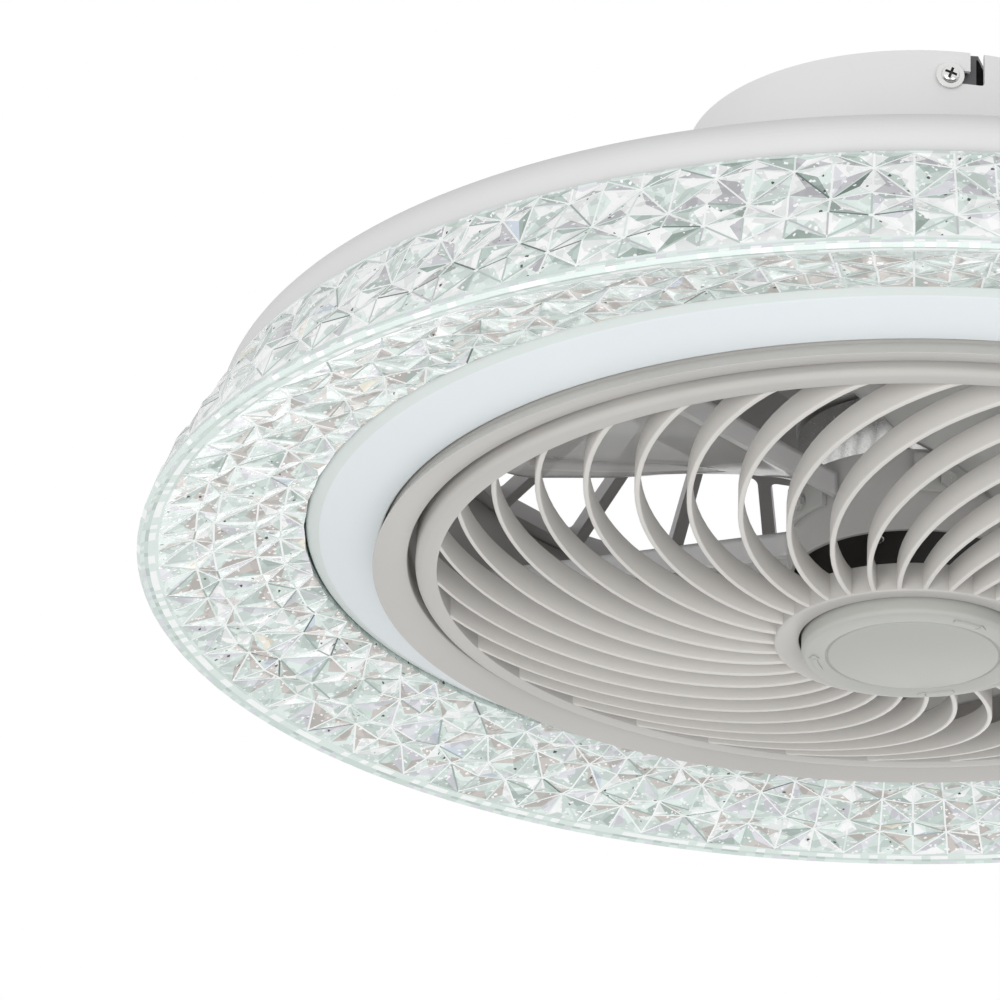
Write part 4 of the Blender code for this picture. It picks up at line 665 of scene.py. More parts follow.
def small_screws(head, family, count, body, up):
    """Screws along the axis: up is 1 where the head is below its seat and -1 where it is above."""
    for number in range(1, count + 1):
        node = f"{family}_screw_{number}"
        near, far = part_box(node)
        seat = near.z + HEAD_HEIGHT if up > 0 else far.z - HEAD_HEIGHT
        turn = Matrix.Identity(4) if up > 0 else Matrix.Rotation(math.pi, 4, "X")
        place = Matrix.Translation((*screw_place(node), seat))
        bm = moved(with_shank(head, SHANK_RADIUS, far.z - near.z - HEAD_HEIGHT), place @ turn)
        thing = fit(f"{family}_fixing_{number}", bm, BRIGHT_STEEL, body, node)
        # The near-black second material for the recess: painted shade.
        thing.data.materials.append(INSIDE_PAINTED_SHADE)


canopy_screws()
SMALL_HEAD = screw_head(HEAD_RADIUS, HEAD_HEIGHT)
for family, body, up in (("base", FIXED, -1), ("tray", FIXED, 1), ("bezel", FIXED, 1), ("motor", FIXED, 1),
                         ("hub", ROTOR, 1)):
    small_screws(SMALL_HEAD, family, 3, body, up)

# %% [markdown]
# ## Housing
# The white body is a shallow pressed dish, turned upside down: a gently falling deck, a wide
# round shoulder, and an edge rolled inward above the crystal. The rolled edge catches the shade
# of the crystal, which a straight skirt wouldn't. Both bends are true arcs, so their points come
# from a formula.

# %% Housing shell
HOUSING_WALL = 2.0 * MM
HOUSING_HOLE = 164.0 * MM
DECK_SEAT = 178.3 * MM
DECK_FALL = 7.0 * MM
SHOULDER = 12.0 * MM
TUCK = 7.0 * MM
BEND_STEPS = 12
BOSS_RADIUS = 4.2 * MM


def bend(centre, radius, start, end, steps=BEND_STEPS):
    """Points of an arc in the outline's plane, angles from the outward direction."""
    turns = (start + (end - start) * step / steps for step in range(steps + 1))
    return [(centre[0] + radius * math.cos(a), centre[1] + radius * math.sin(a)) for a in turns]


def housing():
    outer = radius_of("housing_shell")
    deck, lip = high("housing_shell"), low("housing_shell")
    upper = (outer - SHOULDER, deck - DECK_FALL - SHOULDER)
    lower = (outer - TUCK, lip + TUCK)
    outline = [(HOUSING_HOLE, deck - HOUSING_WALL), (HOUSING_HOLE, deck), (DECK_SEAT, deck)]
    outline += bend(upper, SHOULDER, math.pi / 2, 0)
    outline += bend(lower, TUCK, 0, -math.pi / 2)
    outline += bend(lower, TUCK - HOUSING_WALL, -math.pi / 2, 0)
    outline += bend(upper, SHOULDER - HOUSING_WALL, 0, math.pi / 2)
    outline += [(DECK_SEAT, deck - HOUSING_WALL)]
    bosses = []
    for number in (1, 2, 3):
        near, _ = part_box(f"tray_screw_{number}")
        base = high("led_tray") + 0.3 * MM
        boss = turned([(SHANK_RADIUS, base), (BOSS_RADIUS, base), (BOSS_RADIUS, deck - DECK_FALL),
                       (SHANK_RADIUS, deck - DECK_FALL)], SMALL_SIDES)
        bosses.append(moved(boss, Matrix.Translation((*screw_place(f"tray_screw_{number}"), 0))))
    # The dish takes the darker copy of the white paint: painted shade.
    fit("housing_dish", joined(turned(outline, rounding=0.2 * MM), *bosses), MATTE_SHADED_WHITE_PAINT, FIXED, "housing_shell")


housing()

# %% [markdown]
# ## Crystal shade
# The shade is moulded acrylic cut like crystal: staggered rows of eight-ray stars. Spinning the
# outline gives a net of four-sided cells whose corners are, in turn, a star and a crossing. The
# stars are pushed in, each cell is split from star to star, and a poke gives each half three
# facets. A bevel then turns every ray into a narrow strip of its own. What looks complicated is
# four operators on one spin. The rows left plain are the clear rim between the cut zones.

# %% Rows of the crystal
SHADE_COLUMNS = 62
SHADE_TOP_RADIUS = 229.2 * MM
SHADE_TOP = -115.2 * MM
SHADE_WALL = 4.6 * MM
SHADE_INNER = 196.4 * MM
SLOPE_SHARE = 0.237
# Distance out from the top edge and down from it, as shares of the side, row by row
SIDE_ROWS = ((0.0, 0.0), (0.03, 0.03), (0.17, 0.147), (0.566, 0.482), (0.782, 0.675), (0.957, 0.908))
RIM_ROUND = 1.1 * MM
# Rows of the clear rim band: shares of the side above its edge, and distances in under it
BAND_SIDE = ((0.970, 0.930), (0.976, 0.948))
BAND_UNDER = (2.4 * MM, 3.6 * MM, 5.8 * MM)
RIM_BAND = 7.0 * MM
# Distance in from the rim band, as shares of the underside, row by row
UNDER_ROWS = (0.0, 0.245, 0.375, 0.660, 0.834, 1.0)
SHADE_RADIUS = radius_of("crystal_shade")
RIM_LEVEL = low("crystal_shade")


def under_level(radius):
    """Level of the shade's conical underside."""
    return RIM_LEVEL + (SHADE_RADIUS - radius) * SLOPE_SHARE


def shade_rows():
    """(radius, level) of each row, from the top edge round the rim to the inner edge."""
    wide, drop = SHADE_RADIUS - SHADE_TOP_RADIUS, SHADE_TOP - RIM_LEVEL
    rows = [(SHADE_TOP_RADIUS + wide * out, SHADE_TOP - drop * down) for out, down in SIDE_ROWS + BAND_SIDE]
    rows += [(SHADE_RADIUS, RIM_LEVEL + RIM_ROUND), (SHADE_RADIUS - RIM_ROUND, RIM_LEVEL)]
    rows += [(SHADE_RADIUS - inward, under_level(SHADE_RADIUS - inward)) for inward in BAND_UNDER]
    band = SHADE_RADIUS - RIM_BAND
    radii = [band + (SHADE_INNER - band) * share for share in UNDER_ROWS]
    return rows + [(radius, under_level(radius)) for radius in radii]


SHADE_ROWS = shade_rows()
BETWEEN_ROWS = [tuple((Vector(one) + Vector(two)) / 2) for one, two in zip(SHADE_ROWS, SHADE_ROWS[1:])]
INNER_ROW = len(SHADE_ROWS) - 1
SIDE_END, UNDER_START = len(SIDE_ROWS) - 1, len(SHADE_ROWS) - len(UNDER_ROWS)
# A zone is named by its upper row: four cut zones on the side, five underneath, the band between
SIDE_ZONES, UNDER_ZONES = tuple(range(1, SIDE_END)), tuple(range(UNDER_START, INNER_ROW))
CUT_ROWS = SIDE_ZONES[1:] + UNDER_ZONES[1:]
print("crystal rows:", len(SHADE_ROWS), "with", SHADE_COLUMNS, "stars each")

# %% The net and its stars
STAR_PHASE = 0
STAR_DEPTH = 1.5 * MM
CROSSING_RISE = 0.4 * MM
SCALLOP = 0.8 * MM


def shade_back():
    """Plain inner wall and flange that close the shade's outline."""
    corner = SHADE_RADIUS - RIM_BAND
    flange = SHADE_TOP - 4.2 * MM
    return [(SHADE_INNER + SCALLOP, under_level(SHADE_INNER) + SHADE_WALL * 3 / 4),
            (corner, under_level(corner) + SHADE_WALL), (SHADE_TOP_RADIUS - SHADE_WALL, flange),
            (217.0 * MM, flange), (217.0 * MM, flange + 3.0 * MM), (227.2 * MM, flange + 3.0 * MM),
            (227.2 * MM, SHADE_TOP)]


def shade_net():
    """Spin the outline and find the net's row and step for each corner of the cut face."""
    bm = turned(SHADE_ROWS + shade_back(), 2 * SHADE_COLUMNS, rounding=0)
    grid = {}
    for vert in bm.verts:
        radius = vert.co.xy.length
        for row, (row_radius, level) in enumerate(SHADE_ROWS):
            if abs(radius - row_radius) < MERGE * 10 and abs(vert.co.z - level) < MERGE * 10:
                turn = math.atan2(vert.co.y, vert.co.x) % math.tau
                grid[vert] = (row, round(turn / math.tau * 2 * SHADE_COLUMNS) % (2 * SHADE_COLUMNS))
    return bm, grid


def is_star(row, step):
    return (row + step + STAR_PHASE) % 2 == 0


def push_stars(grid):
    """Push the stars in and the crossings out, square to the row's own slope."""
    for vert, (row, step) in grid.items():
        outward = vert.co.xy.normalized().to_3d()
        if row == INNER_ROW and is_star(row, step):
            vert.co += outward * SCALLOP
        if row in CUT_ROWS:
            along = (Vector(SHADE_ROWS[row + 1]) - Vector(SHADE_ROWS[row - 1])).normalized()
            out = outward * -along.y + Vector((0, 0, along.x))
            vert.co += out * (-STAR_DEPTH if is_star(row, step) else CROSSING_RISE)


# %% [markdown]
# Each facet's tint follows its place in the star: the real one repeats along a row because the
# light does. Nearly half of the facets take a stray tint instead, so that no two stars are the
# same. The strays are drawn from a seeded dice. A bevel hands its faces back in no fixed order,
# so they are sorted by their place on the net before the draws, or each run would differ.

# %% Tints of the facets
# Per zone, the tint of each facet: level, upright and diagonal of the upper half, then of the lower
FACETS = [(half, kind) for half in ("upper", "lower") for kind in ("level", "upright", "diagonal")]
SIDE_PATTERN = (
    ("mint", "white", "grey_mint", "lilac_grey", "white", "grey_green"),
    ("white", "pale_mint", "mint", "lilac_grey", "white", "lilac_grey"),
    ("grey_mint", "white", "white", "pale_mint", "grey_green", "mint"),
    ("white", "white", "pale_mint", "white", "pale_mint", "white"),
)
UNDER_PATTERN = (("mint", "white", "pale_mint", "pale_mint", "warm_grey", "warm_grey"),
                 ("pale_mint", "mint", "lilac_white", "warm_grey", "pale_mint", "mint"))
SIDE_STRAYS = {"white": 11, "pale_mint": 7, "mint": 4, "grey_mint": 3, "grey_green": 2, "lilac_white": 3,
               "lilac_grey": 3, "deep_green": 0.4, "sky_blue": 0.4, "straw": 0.3}
UNDER_STRAYS = {"white": 4, "pale_mint": 7, "mint": 6, "grey_mint": 3, "lilac_white": 3, "warm_grey": 5,
                "sky_blue": 0.4, "straw": 0.3}
RAY_TINTS = {"upright": {"white": 6, "pale_mint": 2, "grey_mint": 1},
             "level": {"pale_mint": 4, "white": 4, "grey_green": 2},
             "diagonal": {"white": 8, "grey_green": 1.2, "deep_green": 0.6, "mint": 2},
             "dark": {"deep_green": 3, "mint": 2, "white": 2}, "low": {"grey_mint": 5, "white": 3, "lilac_grey": 2}}
# Per strip of the rim band, from the side round to underneath
BAND_TINTS = (
    {"pale_mint": 5, "mint": 3}, {"mint": 4, "lilac_white": 3, "pale_mint": 2},
    {"pale_mint": 5, "white": 3, "lilac_white": 2}, {"pale_mint": 6, "white": 2},
    {"mint": 3, "pale_mint": 3, "lilac_white": 1}, {"mint": 4, "grey_mint": 2},
    {"white": 4, "pale_mint": 4}, {"pale_mint": 4, "mint": 3},
)
BAND_CUTS = 3
STRAY_SHARE = 0.45
DARK_ROW, LOW_ROW = 4, 5
DICE = random.Random(7)


def pick(weights):
    return DICE.choices(tuple(weights), tuple(weights.values()))[0]


def facet_tint(facet, half, grid):
    """Tint of one poked facet, from the two net corners that it stands on."""
    ends = [vert for vert in facet.verts if vert in grid]
    rows = [grid[vert][0] for vert in ends]
    kind = "level" if rows[0] == rows[1] else "upright"
    if all(is_star(*grid[vert]) for vert in ends):
        kind = "diagonal"
    zone = min(rows) - (kind == "level" and half == "lower")
    under = zone in UNDER_ZONES
    if DICE.random() < STRAY_SHARE:
        return pick(UNDER_STRAYS if under else SIDE_STRAYS)
    pattern = UNDER_PATTERN[zone % 2] if under else SIDE_PATTERN[SIDE_ZONES.index(zone)]
    return pattern[FACETS.index((half, kind))]


def row_at(point, rows=SHADE_ROWS):
    """The row nearest to a point."""
    place = Vector((point.xy.length, point.z))
    return min(range(len(rows)), key=lambda row: (Vector(rows[row]) - place).length)


def net_place(face, parts):
    """A face's place on the net: its row, or the middle between two rows, and its part of a turn."""
    point = face.calc_center_median()
    turn = math.atan2(point.y, point.x) % math.tau / math.tau
    return row_at(point, SHADE_ROWS + BETWEEN_ROWS), round(turn * parts) % parts


def in_net_order(faces, parts):
    return sorted(faces, key=lambda face: net_place(face, parts))


def ray_tint(strip):
    """Tint of one bevelled ray, from the way its long edge runs."""
    edge = max(strip.edges, key=lambda e: e.calc_length())
    one, two = (vert.co for vert in edge.verts)
    climb = math.hypot(one.z - two.z, one.xy.length - two.xy.length)
    spread = one.xy.angle(two.xy) * one.xy.length
    spot, part = net_place(strip, RAY_PARTS)
    if spot < len(SHADE_ROWS) and part % 2 == 0:
        return "white"  # the small face that the bevel leaves on a corner of the net
    row = row_at(strip.calc_center_median())
    low = (one.z + two.z) / 2 < SHADE_ROWS[DARK_ROW][1] and row <= LOW_ROW
    kind = "low" if low else "upright" if spread < climb / 5 else "diagonal"
    if climb < spread / 5:
        kind = "dark" if row == DARK_ROW else "level"
    return pick(RAY_TINTS[kind])


# %% Cutting the facets
POKE = 0.5 * MM
JITTER = 0.5 * MM
RAY_HALF = 0.32 * MM
# Parts of a turn that tell the rays, and the cells of the cut-up band, from one another
RAY_PARTS = 4 * SHADE_COLUMNS
BAND_PARTS = 4 * RAY_PARTS


def cut_halves(bm, grid):
    """Split each cell of the cut zones from star to star, and sort the halves."""
    halves = {"upper": [], "lower": []}
    for cell in [face for face in bm.faces if all(vert in grid for vert in face.verts)]:
        zone = min(grid[vert][0] for vert in cell.verts)
        if zone not in SIDE_ZONES + UNDER_ZONES:
            continue
        stars = [vert for vert in cell.verts if is_star(*grid[vert])]
        other, _ = bmesh.utils.face_split(cell, *stars)
        for half in (cell, other):
            crossing = next(vert for vert in half.verts if not is_star(*grid[vert]))
            halves["upper" if grid[crossing][0] == zone else "lower"].append(half)
    return halves


def crystal():
    bm, grid = shade_net()
    push_stars(grid)
    mark = bm.faces.layers.float.new("facet")
    for face in bm.faces:
        zone = min(grid[vert][0] for vert in face.verts) if all(vert in grid for vert in face.verts) else 0
        # A strip of the band is marked by its zone, below zero, until it is cut up further down
        face[mark] = -zone if SIDE_END <= zone < UNDER_START else tint_mark("pale_mint")
        face.smooth = True
    for side, faces in cut_halves(bm, grid).items():
        poked = bmesh.ops.poke(bm, faces=faces, offset=POKE, center_mode="MEAN", use_relative_offset=False)
        for vert in poked["verts"]:
            vert.co += Vector([DICE.uniform(-1, 1) for _ in range(3)]) * JITTER
        for facet in poked["faces"]:
            facet[mark] = tint_mark(facet_tint(facet, side, grid))
            facet.smooth = False
    rays = [edge for edge in bm.edges if all(vert in grid for vert in edge.verts)
            and any(grid[vert][0] in CUT_ROWS for vert in edge.verts)]
    cut = bmesh.ops.bevel(bm, geom=rays, offset=RAY_HALF, segments=1, profile=0.5, affect="EDGES",
                          clamp_overlap=True, material=-1)
    for strip in in_net_order(cut["faces"], RAY_PARTS):
        strip[mark] = tint_mark(ray_tint(strip))
        strip.smooth = False
        strip.material_index = 1
    hoops = [edge for edge in bm.edges if all(face[mark] < 0 for face in edge.link_faces)
             and abs(edge.verts[0].co.z - edge.verts[1].co.z) < MERGE]
    bmesh.ops.subdivide_edges(bm, edges=hoops, cuts=BAND_CUTS, use_grid_fill=True)
    for face in in_net_order([face for face in bm.faces if face[mark] < 0], BAND_PARTS):
        face[mark] = tint_mark(pick(BAND_TINTS[round(-face[mark]) - SIDE_END]))
        face.material_index = 1
    bmesh.ops.triangulate(bm, faces=[face for face in bm.faces if len(face.verts) > 3])
    thing = made("cut_crystal", bm, CRYSTAL, smooth=False)
    thing.data.materials.append(CRYSTAL_RAY)
    stand_for(thing, FIXED, "crystal_shade")


crystal()

# %% [markdown]
# ## Light ring
# Behind the crystal a sheet ring carries the lights, and a milky cover hides them. The cover's
# face slopes like the shade's underside, so the two read as one cone.

# %% Tray and diffuser
COVER_WALL = 1.8 * MM
COVER_CHAMFER = 4.8 * MM
COVER_LIP = 5.3 * MM
COVER_PROUD = 0.9 * MM
FLARE = 213.5 * MM


def light_ring():
    near = 160.1 * MM
    outer = radius_of("led_tray")
    floor, top = low("led_tray"), high("led_tray")
    tray = turned([(near, floor), (outer, floor), (outer, top), (near, top)], rounding=0.3 * MM)
    fit("light_tray", tray, ZINC, FIXED, "led_tray")
    inner = 172.5 * MM
    face = low("bezel_ring") + 5.1 * MM
    lip = SHADE_INNER - 0.2 * MM
    edge = under_level(SHADE_INNER) - COVER_PROUD
    knee = under_level(SHADE_INNER) + COVER_LIP
    top = high("diffuser")
    wall = COVER_WALL
    outline = [(inner, top), (inner, face), (lip - COVER_CHAMFER, edge), (lip, edge + COVER_CHAMFER / 2),
               (lip, knee), (FLARE, top), (FLARE - wall, top), (lip - wall, knee),
               (lip - COVER_CHAMFER, edge + wall * 1.2), (inner + wall, face + wall), (inner + wall, top)]
    thing = fit("milky_cover", turned(outline, rounding=0.9 * MM, steps=4), MILKY, FIXED, "diffuser")
    thing.data.materials.append(MILKY_LIP_PAINTED_SHADE)
    # The outer chamfer takes the darker, greener copy: painted shade and painted reflection.
    for face in thing.data.polygons:
        if face.center.xy.length > lip - COVER_CHAMFER + 0.6 * MM:
            face.material_index = 1


light_ring()

# %% [markdown]
# ## Bezel and shroud
# A greige ring frames the duct, with three hooks inside that hold the grille up, and a dark wall
# behind it leads the air down past the blades.

# %% Bezel ring and duct wall
BEZEL_INNER = 163.1 * MM
BEZEL_RADIUS = radius_of("bezel_ring")
BEZEL_TAPER = 2.7 * MM
BEZEL_SIDE = 4.8 * MM
BEZEL_TILT = 2.6 * MM
BEZEL_LEDGE = 1.8 * MM
LEDGE_INNER = 156.4 * MM
RING_RADIUS = 160.5 * MM
HOOK_SPREAD = math.radians(10.0)
HOOK_HEIGHT = 2.2 * MM
HOOK_LEVEL = high("grille") - 2 * HOOK_HEIGHT - 0.6 * MM
GAP = 0.8 * MM


def three(inner, outer, base, spread):
    """Three bent blocks, evenly round the axis, the height of a hook."""
    return around(bent_block(inner, outer, base, base + HOOK_HEIGHT, -spread / 2, spread), 3)


def bezel():
    rim, top = low("bezel_ring"), high("bezel_ring")
    waist = BEZEL_RADIUS - BEZEL_TAPER
    outline = [(BEZEL_INNER, rim + BEZEL_TILT), (BEZEL_RADIUS, rim), (waist, rim + BEZEL_SIDE), (waist, top),
               (LEDGE_INNER, top), (LEDGE_INNER, top - BEZEL_LEDGE), (BEZEL_INNER, top - BEZEL_LEDGE)]
    hooks = three(RING_RADIUS + GAP / 2, BEZEL_INNER + GAP, HOOK_LEVEL, HOOK_SPREAD)
    fit("bezel_trim", joined(turned(outline, rounding=0.45 * MM, steps=3), hooks), GREIGE, FIXED, "bezel_ring")


def duct_wall():
    near, wall, foot = 157.5 * MM, 1.8 * MM, 8.0 * MM
    base, top = low("air_shroud"), high("air_shroud")
    outline = [(near, base), (near + wall + foot, base), (near + wall + foot, base + wall),
               (near + wall, base + wall), (near + wall, top), (near, top)]
    fit("duct_wall", turned(outline, rounding=0.3 * MM), SHROUD, FIXED, "air_shroud")


bezel()
duct_wall()

# %% [markdown]
# ## Chassis
# One pressed sheet carries everything: a flat middle, a cone of swept windows that lets the air
# through, and a rim for the housing. The windows are cut with a ring of copies of one wedge.

# %% Chassis plate with swept windows
PLATE_RADIUS = 98.0 * MM
RIM_INNER = 158.5 * MM
CHASSIS_SHEET = 2.0 * MM
GUARD_DROP = 20.0 * MM
GUARD_DEPTH = 6.0 * MM
WINDOWS = 24
WINDOW_BAR = 5.0 * MM
WINDOW_MARGIN = 3.5 * MM
WINDOW_SWEEP = math.radians(12.0)


def window_cutters(base, top):
    """Twenty-four tall wedges with rounded corners, swept against the turn."""
    pitch = math.pi / WINDOWS
    inner, outer = PLATE_RADIUS + WINDOW_MARGIN, RIM_INNER - WINDOW_MARGIN
    near = pitch - WINDOW_BAR / 2 / inner
    far = pitch - WINDOW_BAR / 2 / outer
    corners = (polar(inner, pitch - near, base), polar(inner, pitch + near, base),
               polar(outer, pitch - WINDOW_SWEEP + far, base), polar(outer, pitch - WINDOW_SWEEP - far, base))
    bm = bmesh.new()
    verts = [bm.verts.new(place) for place in corners]
    face = bm.faces.new(verts)
    bmesh.ops.bevel(bm, geom=verts, offset=2.5 * MM, segments=4, profile=0.5, affect="VERTICES",
                    clamp_overlap=True, material=-1)
    raised = bmesh.ops.extrude_face_region(bm, geom=bm.faces[:])["geom"]
    bmesh.ops.translate(bm, vec=(0, 0, top - base), verts=[g for g in raised if isinstance(g, bmesh.types.BMVert)])
    bmesh.ops.recalc_face_normals(bm, faces=bm.faces)
    return around(bm, WINDOWS)


def chassis():
    top = high("chassis_plate")
    rim = top - GUARD_DROP
    outer = radius_of("chassis_plate")
    outline = [(CABLE_HOLE, top - CHASSIS_SHEET), (PLATE_RADIUS, top - CHASSIS_SHEET),
               (PLATE_RADIUS, top - GUARD_DEPTH), (RIM_INNER, rim - GUARD_DEPTH),
               (RIM_INNER, rim - CHASSIS_SHEET), (outer, rim - CHASSIS_SHEET), (outer, rim),
               (RIM_INNER, rim), (PLATE_RADIUS, top), (CABLE_HOLE, top)]
    plate = turned(outline, sides=192, rounding=0.5 * MM)
    cutters = window_cutters(rim - 2 * GUARD_DEPTH, top + GUARD_DEPTH)
    fit("chassis_pressing", carved(plate, cutters), GREY_STEEL, FIXED, "chassis_plate")


chassis()

# %% [markdown]
# ## Motor
# The motor's still half is a flanged cover, and its turning half a steel cup. The five blades
# hang on a plastic cup pushed over that, which is open below; the floor of its recess is painted
# near-black as the shade inside it.

# %% Motor cover, rotor cup and blade hub
def motor():
    top = high("motor_base")
    flange, sheet = radius_of("motor_base"), 2.0 * MM
    cover_level = high("rotor_shell") + 2.0 * MM
    cover, wall = 38.2 * MM, 1.6 * MM
    bore, tube = 8.3 * MM, 12.2 * MM
    outline = [(cover - wall, top), (cover - wall, cover_level + sheet), (bore, cover_level + sheet),
               (bore, low("motor_base")), (tube, low("motor_base")), (tube, cover_level),
               (cover, cover_level), (cover, top - sheet), (flange, top - sheet), (flange, top)]
    fit("motor_cover", turned(outline, 128, 0.5 * MM, 3), MOTOR_GREY, FIXED, "motor_base")
    shell, floor = radius_of("rotor_shell"), low("rotor_shell")
    inner, boss, shaft = shell - 1.6 * MM, 7.0 * MM, 3.3 * MM
    outline = [(shaft, floor), (shell, floor), (shell, high("rotor_shell")), (inner, high("rotor_shell")),
               (inner, floor + sheet), (boss, floor + sheet), (boss, floor + 9.5 * MM), (shaft, floor + 9.5 * MM)]
    fit("rotor_cup", turned(outline, 128, 0.5 * MM, 3), BRIGHT_STEEL, ROTOR, "rotor_shell")


HUB_RECESS = 5.8 * MM
HUB_WALL = 1.8 * MM
# Near-black for the floor of the blade cup's recess: painted shade.
RECESS_PAINTED_SHADE = moulded("recess_black", (0.022, 0.018, 0.016), 0.6)


def blade_cup():
    outer, base, top = radius_of("blade_hub"), low("blade_hub"), high("blade_hub")
    inner = radius_of("rotor_shell") + 0.8 * MM
    floor = base + HUB_RECESS
    outline = [(0, floor), (outer - HUB_WALL, floor), (outer - HUB_WALL, base), (outer, base), (outer, top),
               (inner, top), (inner, floor + HUB_WALL), (0, floor + HUB_WALL)]
    cup = fit("blade_cup", turned(outline, 128, 0.4 * MM, 3), MOTOR_GREY, ROTOR, "blade_hub")
    cup.data.materials.append(RECESS_PAINTED_SHADE)
    # The recess floor takes the near-black: painted shade.
    for face in cup.data.polygons:
        if face.center.xy.length < outer - HUB_WALL * 0.9 and face.center.z < floor + 0.3 * MM:
            face.material_index = 1


motor()
blade_cup()

# %% [markdown]
# ## Blades
# Each blade is a clear smoky sheet that starts as a short upright lip and sweeps back and up. A
# grid gives the sheet its rows and columns, and each of its points is then laid on the sweep.
# Solidify gives the wall, and its rim takes a darker material, as the cut edge of a clear sheet
# does. A long shallow bead stiffens the trailing half, and a bent foot takes the screw.

# %% Five clear blades
BLADES = 5
BLADE_START = math.radians(-126.0)
BLADE_SPAN = math.radians(58.0)
BLADE_RISE = 26.0 * MM
BLADE_LIP = 9.0 * MM
BLADE_WALL = 1.8 * MM
BLADE_CAMBER = 0.8
BLADE_ROOT = 41.8 * MM
BLADE_TIP = 149.0 * MM
BLADE_LENGTH_SHARES = (0.74, 0.90, 1.0, 0.98, 0.80)
BLADE_BASE = low("blade_1")
GRID = (56, 44)
LIP_SHARE = 0.08
BEAD_PLACE, BEAD_SIZE = (0.84, 0.50), (0.055, 0.24)
BEAD_HEIGHT = 1.4 * MM
FOOT_WALL = 2.0 * MM
FOOT_HEIGHT = 13.0 * MM


def blade_length(share):
    """Share of the full sweep at a share of the way from root to tip, smoothed between stations."""
    last = len(BLADE_LENGTH_SHARES) - 1
    spot = min(share * last, last - 1e-6)
    step = int(spot)
    blend = spot - step
    blend = blend * blend * (3 - 2 * blend)
    return BLADE_LENGTH_SHARES[step] * (1 - blend) + BLADE_LENGTH_SHARES[step + 1] * blend


def in_bead(sweep, along):
    """One at the middle of the bead, falling to zero at its edge."""
    off = abs(sweep - BEAD_PLACE[0]) / BEAD_SIZE[0]
    end = max(abs(along - BEAD_PLACE[1]) - BEAD_SIZE[1], 0) / BEAD_SIZE[0]
    return max(1 - off ** 2 - end ** 2, 0) ** 0.5


def on_blade(across, along):
    """Place on the blade: across runs from the lip to the trailing edge, along from root to tip."""
    radius = BLADE_ROOT + (BLADE_TIP - BLADE_ROOT) * along
    base = BLADE_BASE + BLADE_WALL / 2
    if across < LIP_SHARE:
        return polar(radius, 0, base + BLADE_LIP * (1 - across / LIP_SHARE))
    sweep = (across - LIP_SHARE) / (1 - LIP_SHARE)
    length = blade_length(along)
    place = polar(radius, -BLADE_SPAN * length * sweep, base + BLADE_RISE * length * sweep ** BLADE_CAMBER)
    place.z += BEAD_HEIGHT * in_bead(sweep, along)
    return place


def blade_sheet():
    """The sheet of one blade, with a material number for sheet, bead and lip."""
    bm = bmesh.new()
    bmesh.ops.create_grid(bm, x_segments=GRID[0], y_segments=GRID[1], size=0.5)
    for face in bm.faces:
        across, along, _ = face.calc_center_median() + Vector((0.5, 0.5, 0))
        # The lip takes the lighter copy: a painted reflection.
        if across < LIP_SHARE:
            face.material_index = 3
        elif in_bead((across - LIP_SHARE) / (1 - LIP_SHARE), along):
            face.material_index = 2
    for vert in bm.verts:
        vert.co = on_blade(vert.co.x + 0.5, vert.co.y + 0.5)
    bmesh.ops.recalc_face_normals(bm, faces=bm.faces)
    return bm


def blades():
    foot_spread = BLADE_SPAN * BLADE_LENGTH_SHARES[0] * 2 / 3
    foot_middle = -BLADE_SPAN * BLADE_LENGTH_SHARES[0] / 2
    foot_inner = radius_of("blade_hub") + 0.3 * MM
    for number in range(1, BLADES + 1):
        turn = BLADE_START + math.tau * (number - 1) / BLADES
        sheet = moved(blade_sheet(), Matrix.Rotation(turn, 4, "Z"))
        blade = fit(f"clear_blade_{number}", sheet, SMOKE, ROTOR, f"blade_{number}")
        for finish in (SMOKE_EDGE, SMOKE_BEAD, SMOKE_LIP_PAINTED_REFLECTION, SMOKE_EDGE):
            blade.data.materials.append(finish)
        wall = blade.modifiers.new("wall", "SOLIDIFY")
        wall.thickness = BLADE_WALL * 0.6
        wall.offset = 0.0
        wall.material_offset_rim = 1
        foot = bent_block(foot_inner, foot_inner + FOOT_WALL, BLADE_BASE + 0.3 * MM,
                          BLADE_BASE + 0.3 * MM + FOOT_HEIGHT, turn + foot_middle - foot_spread / 2, foot_spread)
        fit(f"blade_foot_{number}", foot, SMOKE, ROTOR, f"blade_{number}")


blades()

# %% [markdown]
# ## Grille
# Thirty-four thin ribs sweep from the hub to the ring, each on a round arc in plan. A rib's
# section is a small rounded rectangle, spun about the arc's own centre. That gives a flat rib,
# and each of its points is then lowered onto the dome. The ribs are copied round with one spin.

# %% Ribs, ring and hub of the grille
RIBS = 34
RIB_START = math.radians(-127.6)
RIB_SWEEP = math.radians(45.6)
RIB_BOW_SHARE = 0.252
RIB_WALL = 1.7 * MM
RIB_DEPTH = 9.0 * MM
RIB_STEPS = 28
RING_MOUTH = 153.5 * MM
HUB_RADIUS = 44.6 * MM
GRILLE_HUB_WALL = 2.0 * MM
HUB_LIP = 1.8 * MM
HUB_SLOPE = 1.0 * MM
RING_ROUND = 2.4 * MM
HUB_HEIGHT = 9.5 * MM
HUB_LEVEL = low("grille")
RING_LEVEL = high("grille") - 10.5 * MM
DOME_SHARE = 1.6


def dome_level(radius):
    """Level of the ribs' lower edges."""
    share = min(max((radius - HUB_RADIUS) / (RING_MOUTH - HUB_RADIUS), 0.0), 1.0)
    return HUB_LEVEL + 0.3 * MM + (RING_LEVEL - HUB_LEVEL) * share ** DOME_SHARE


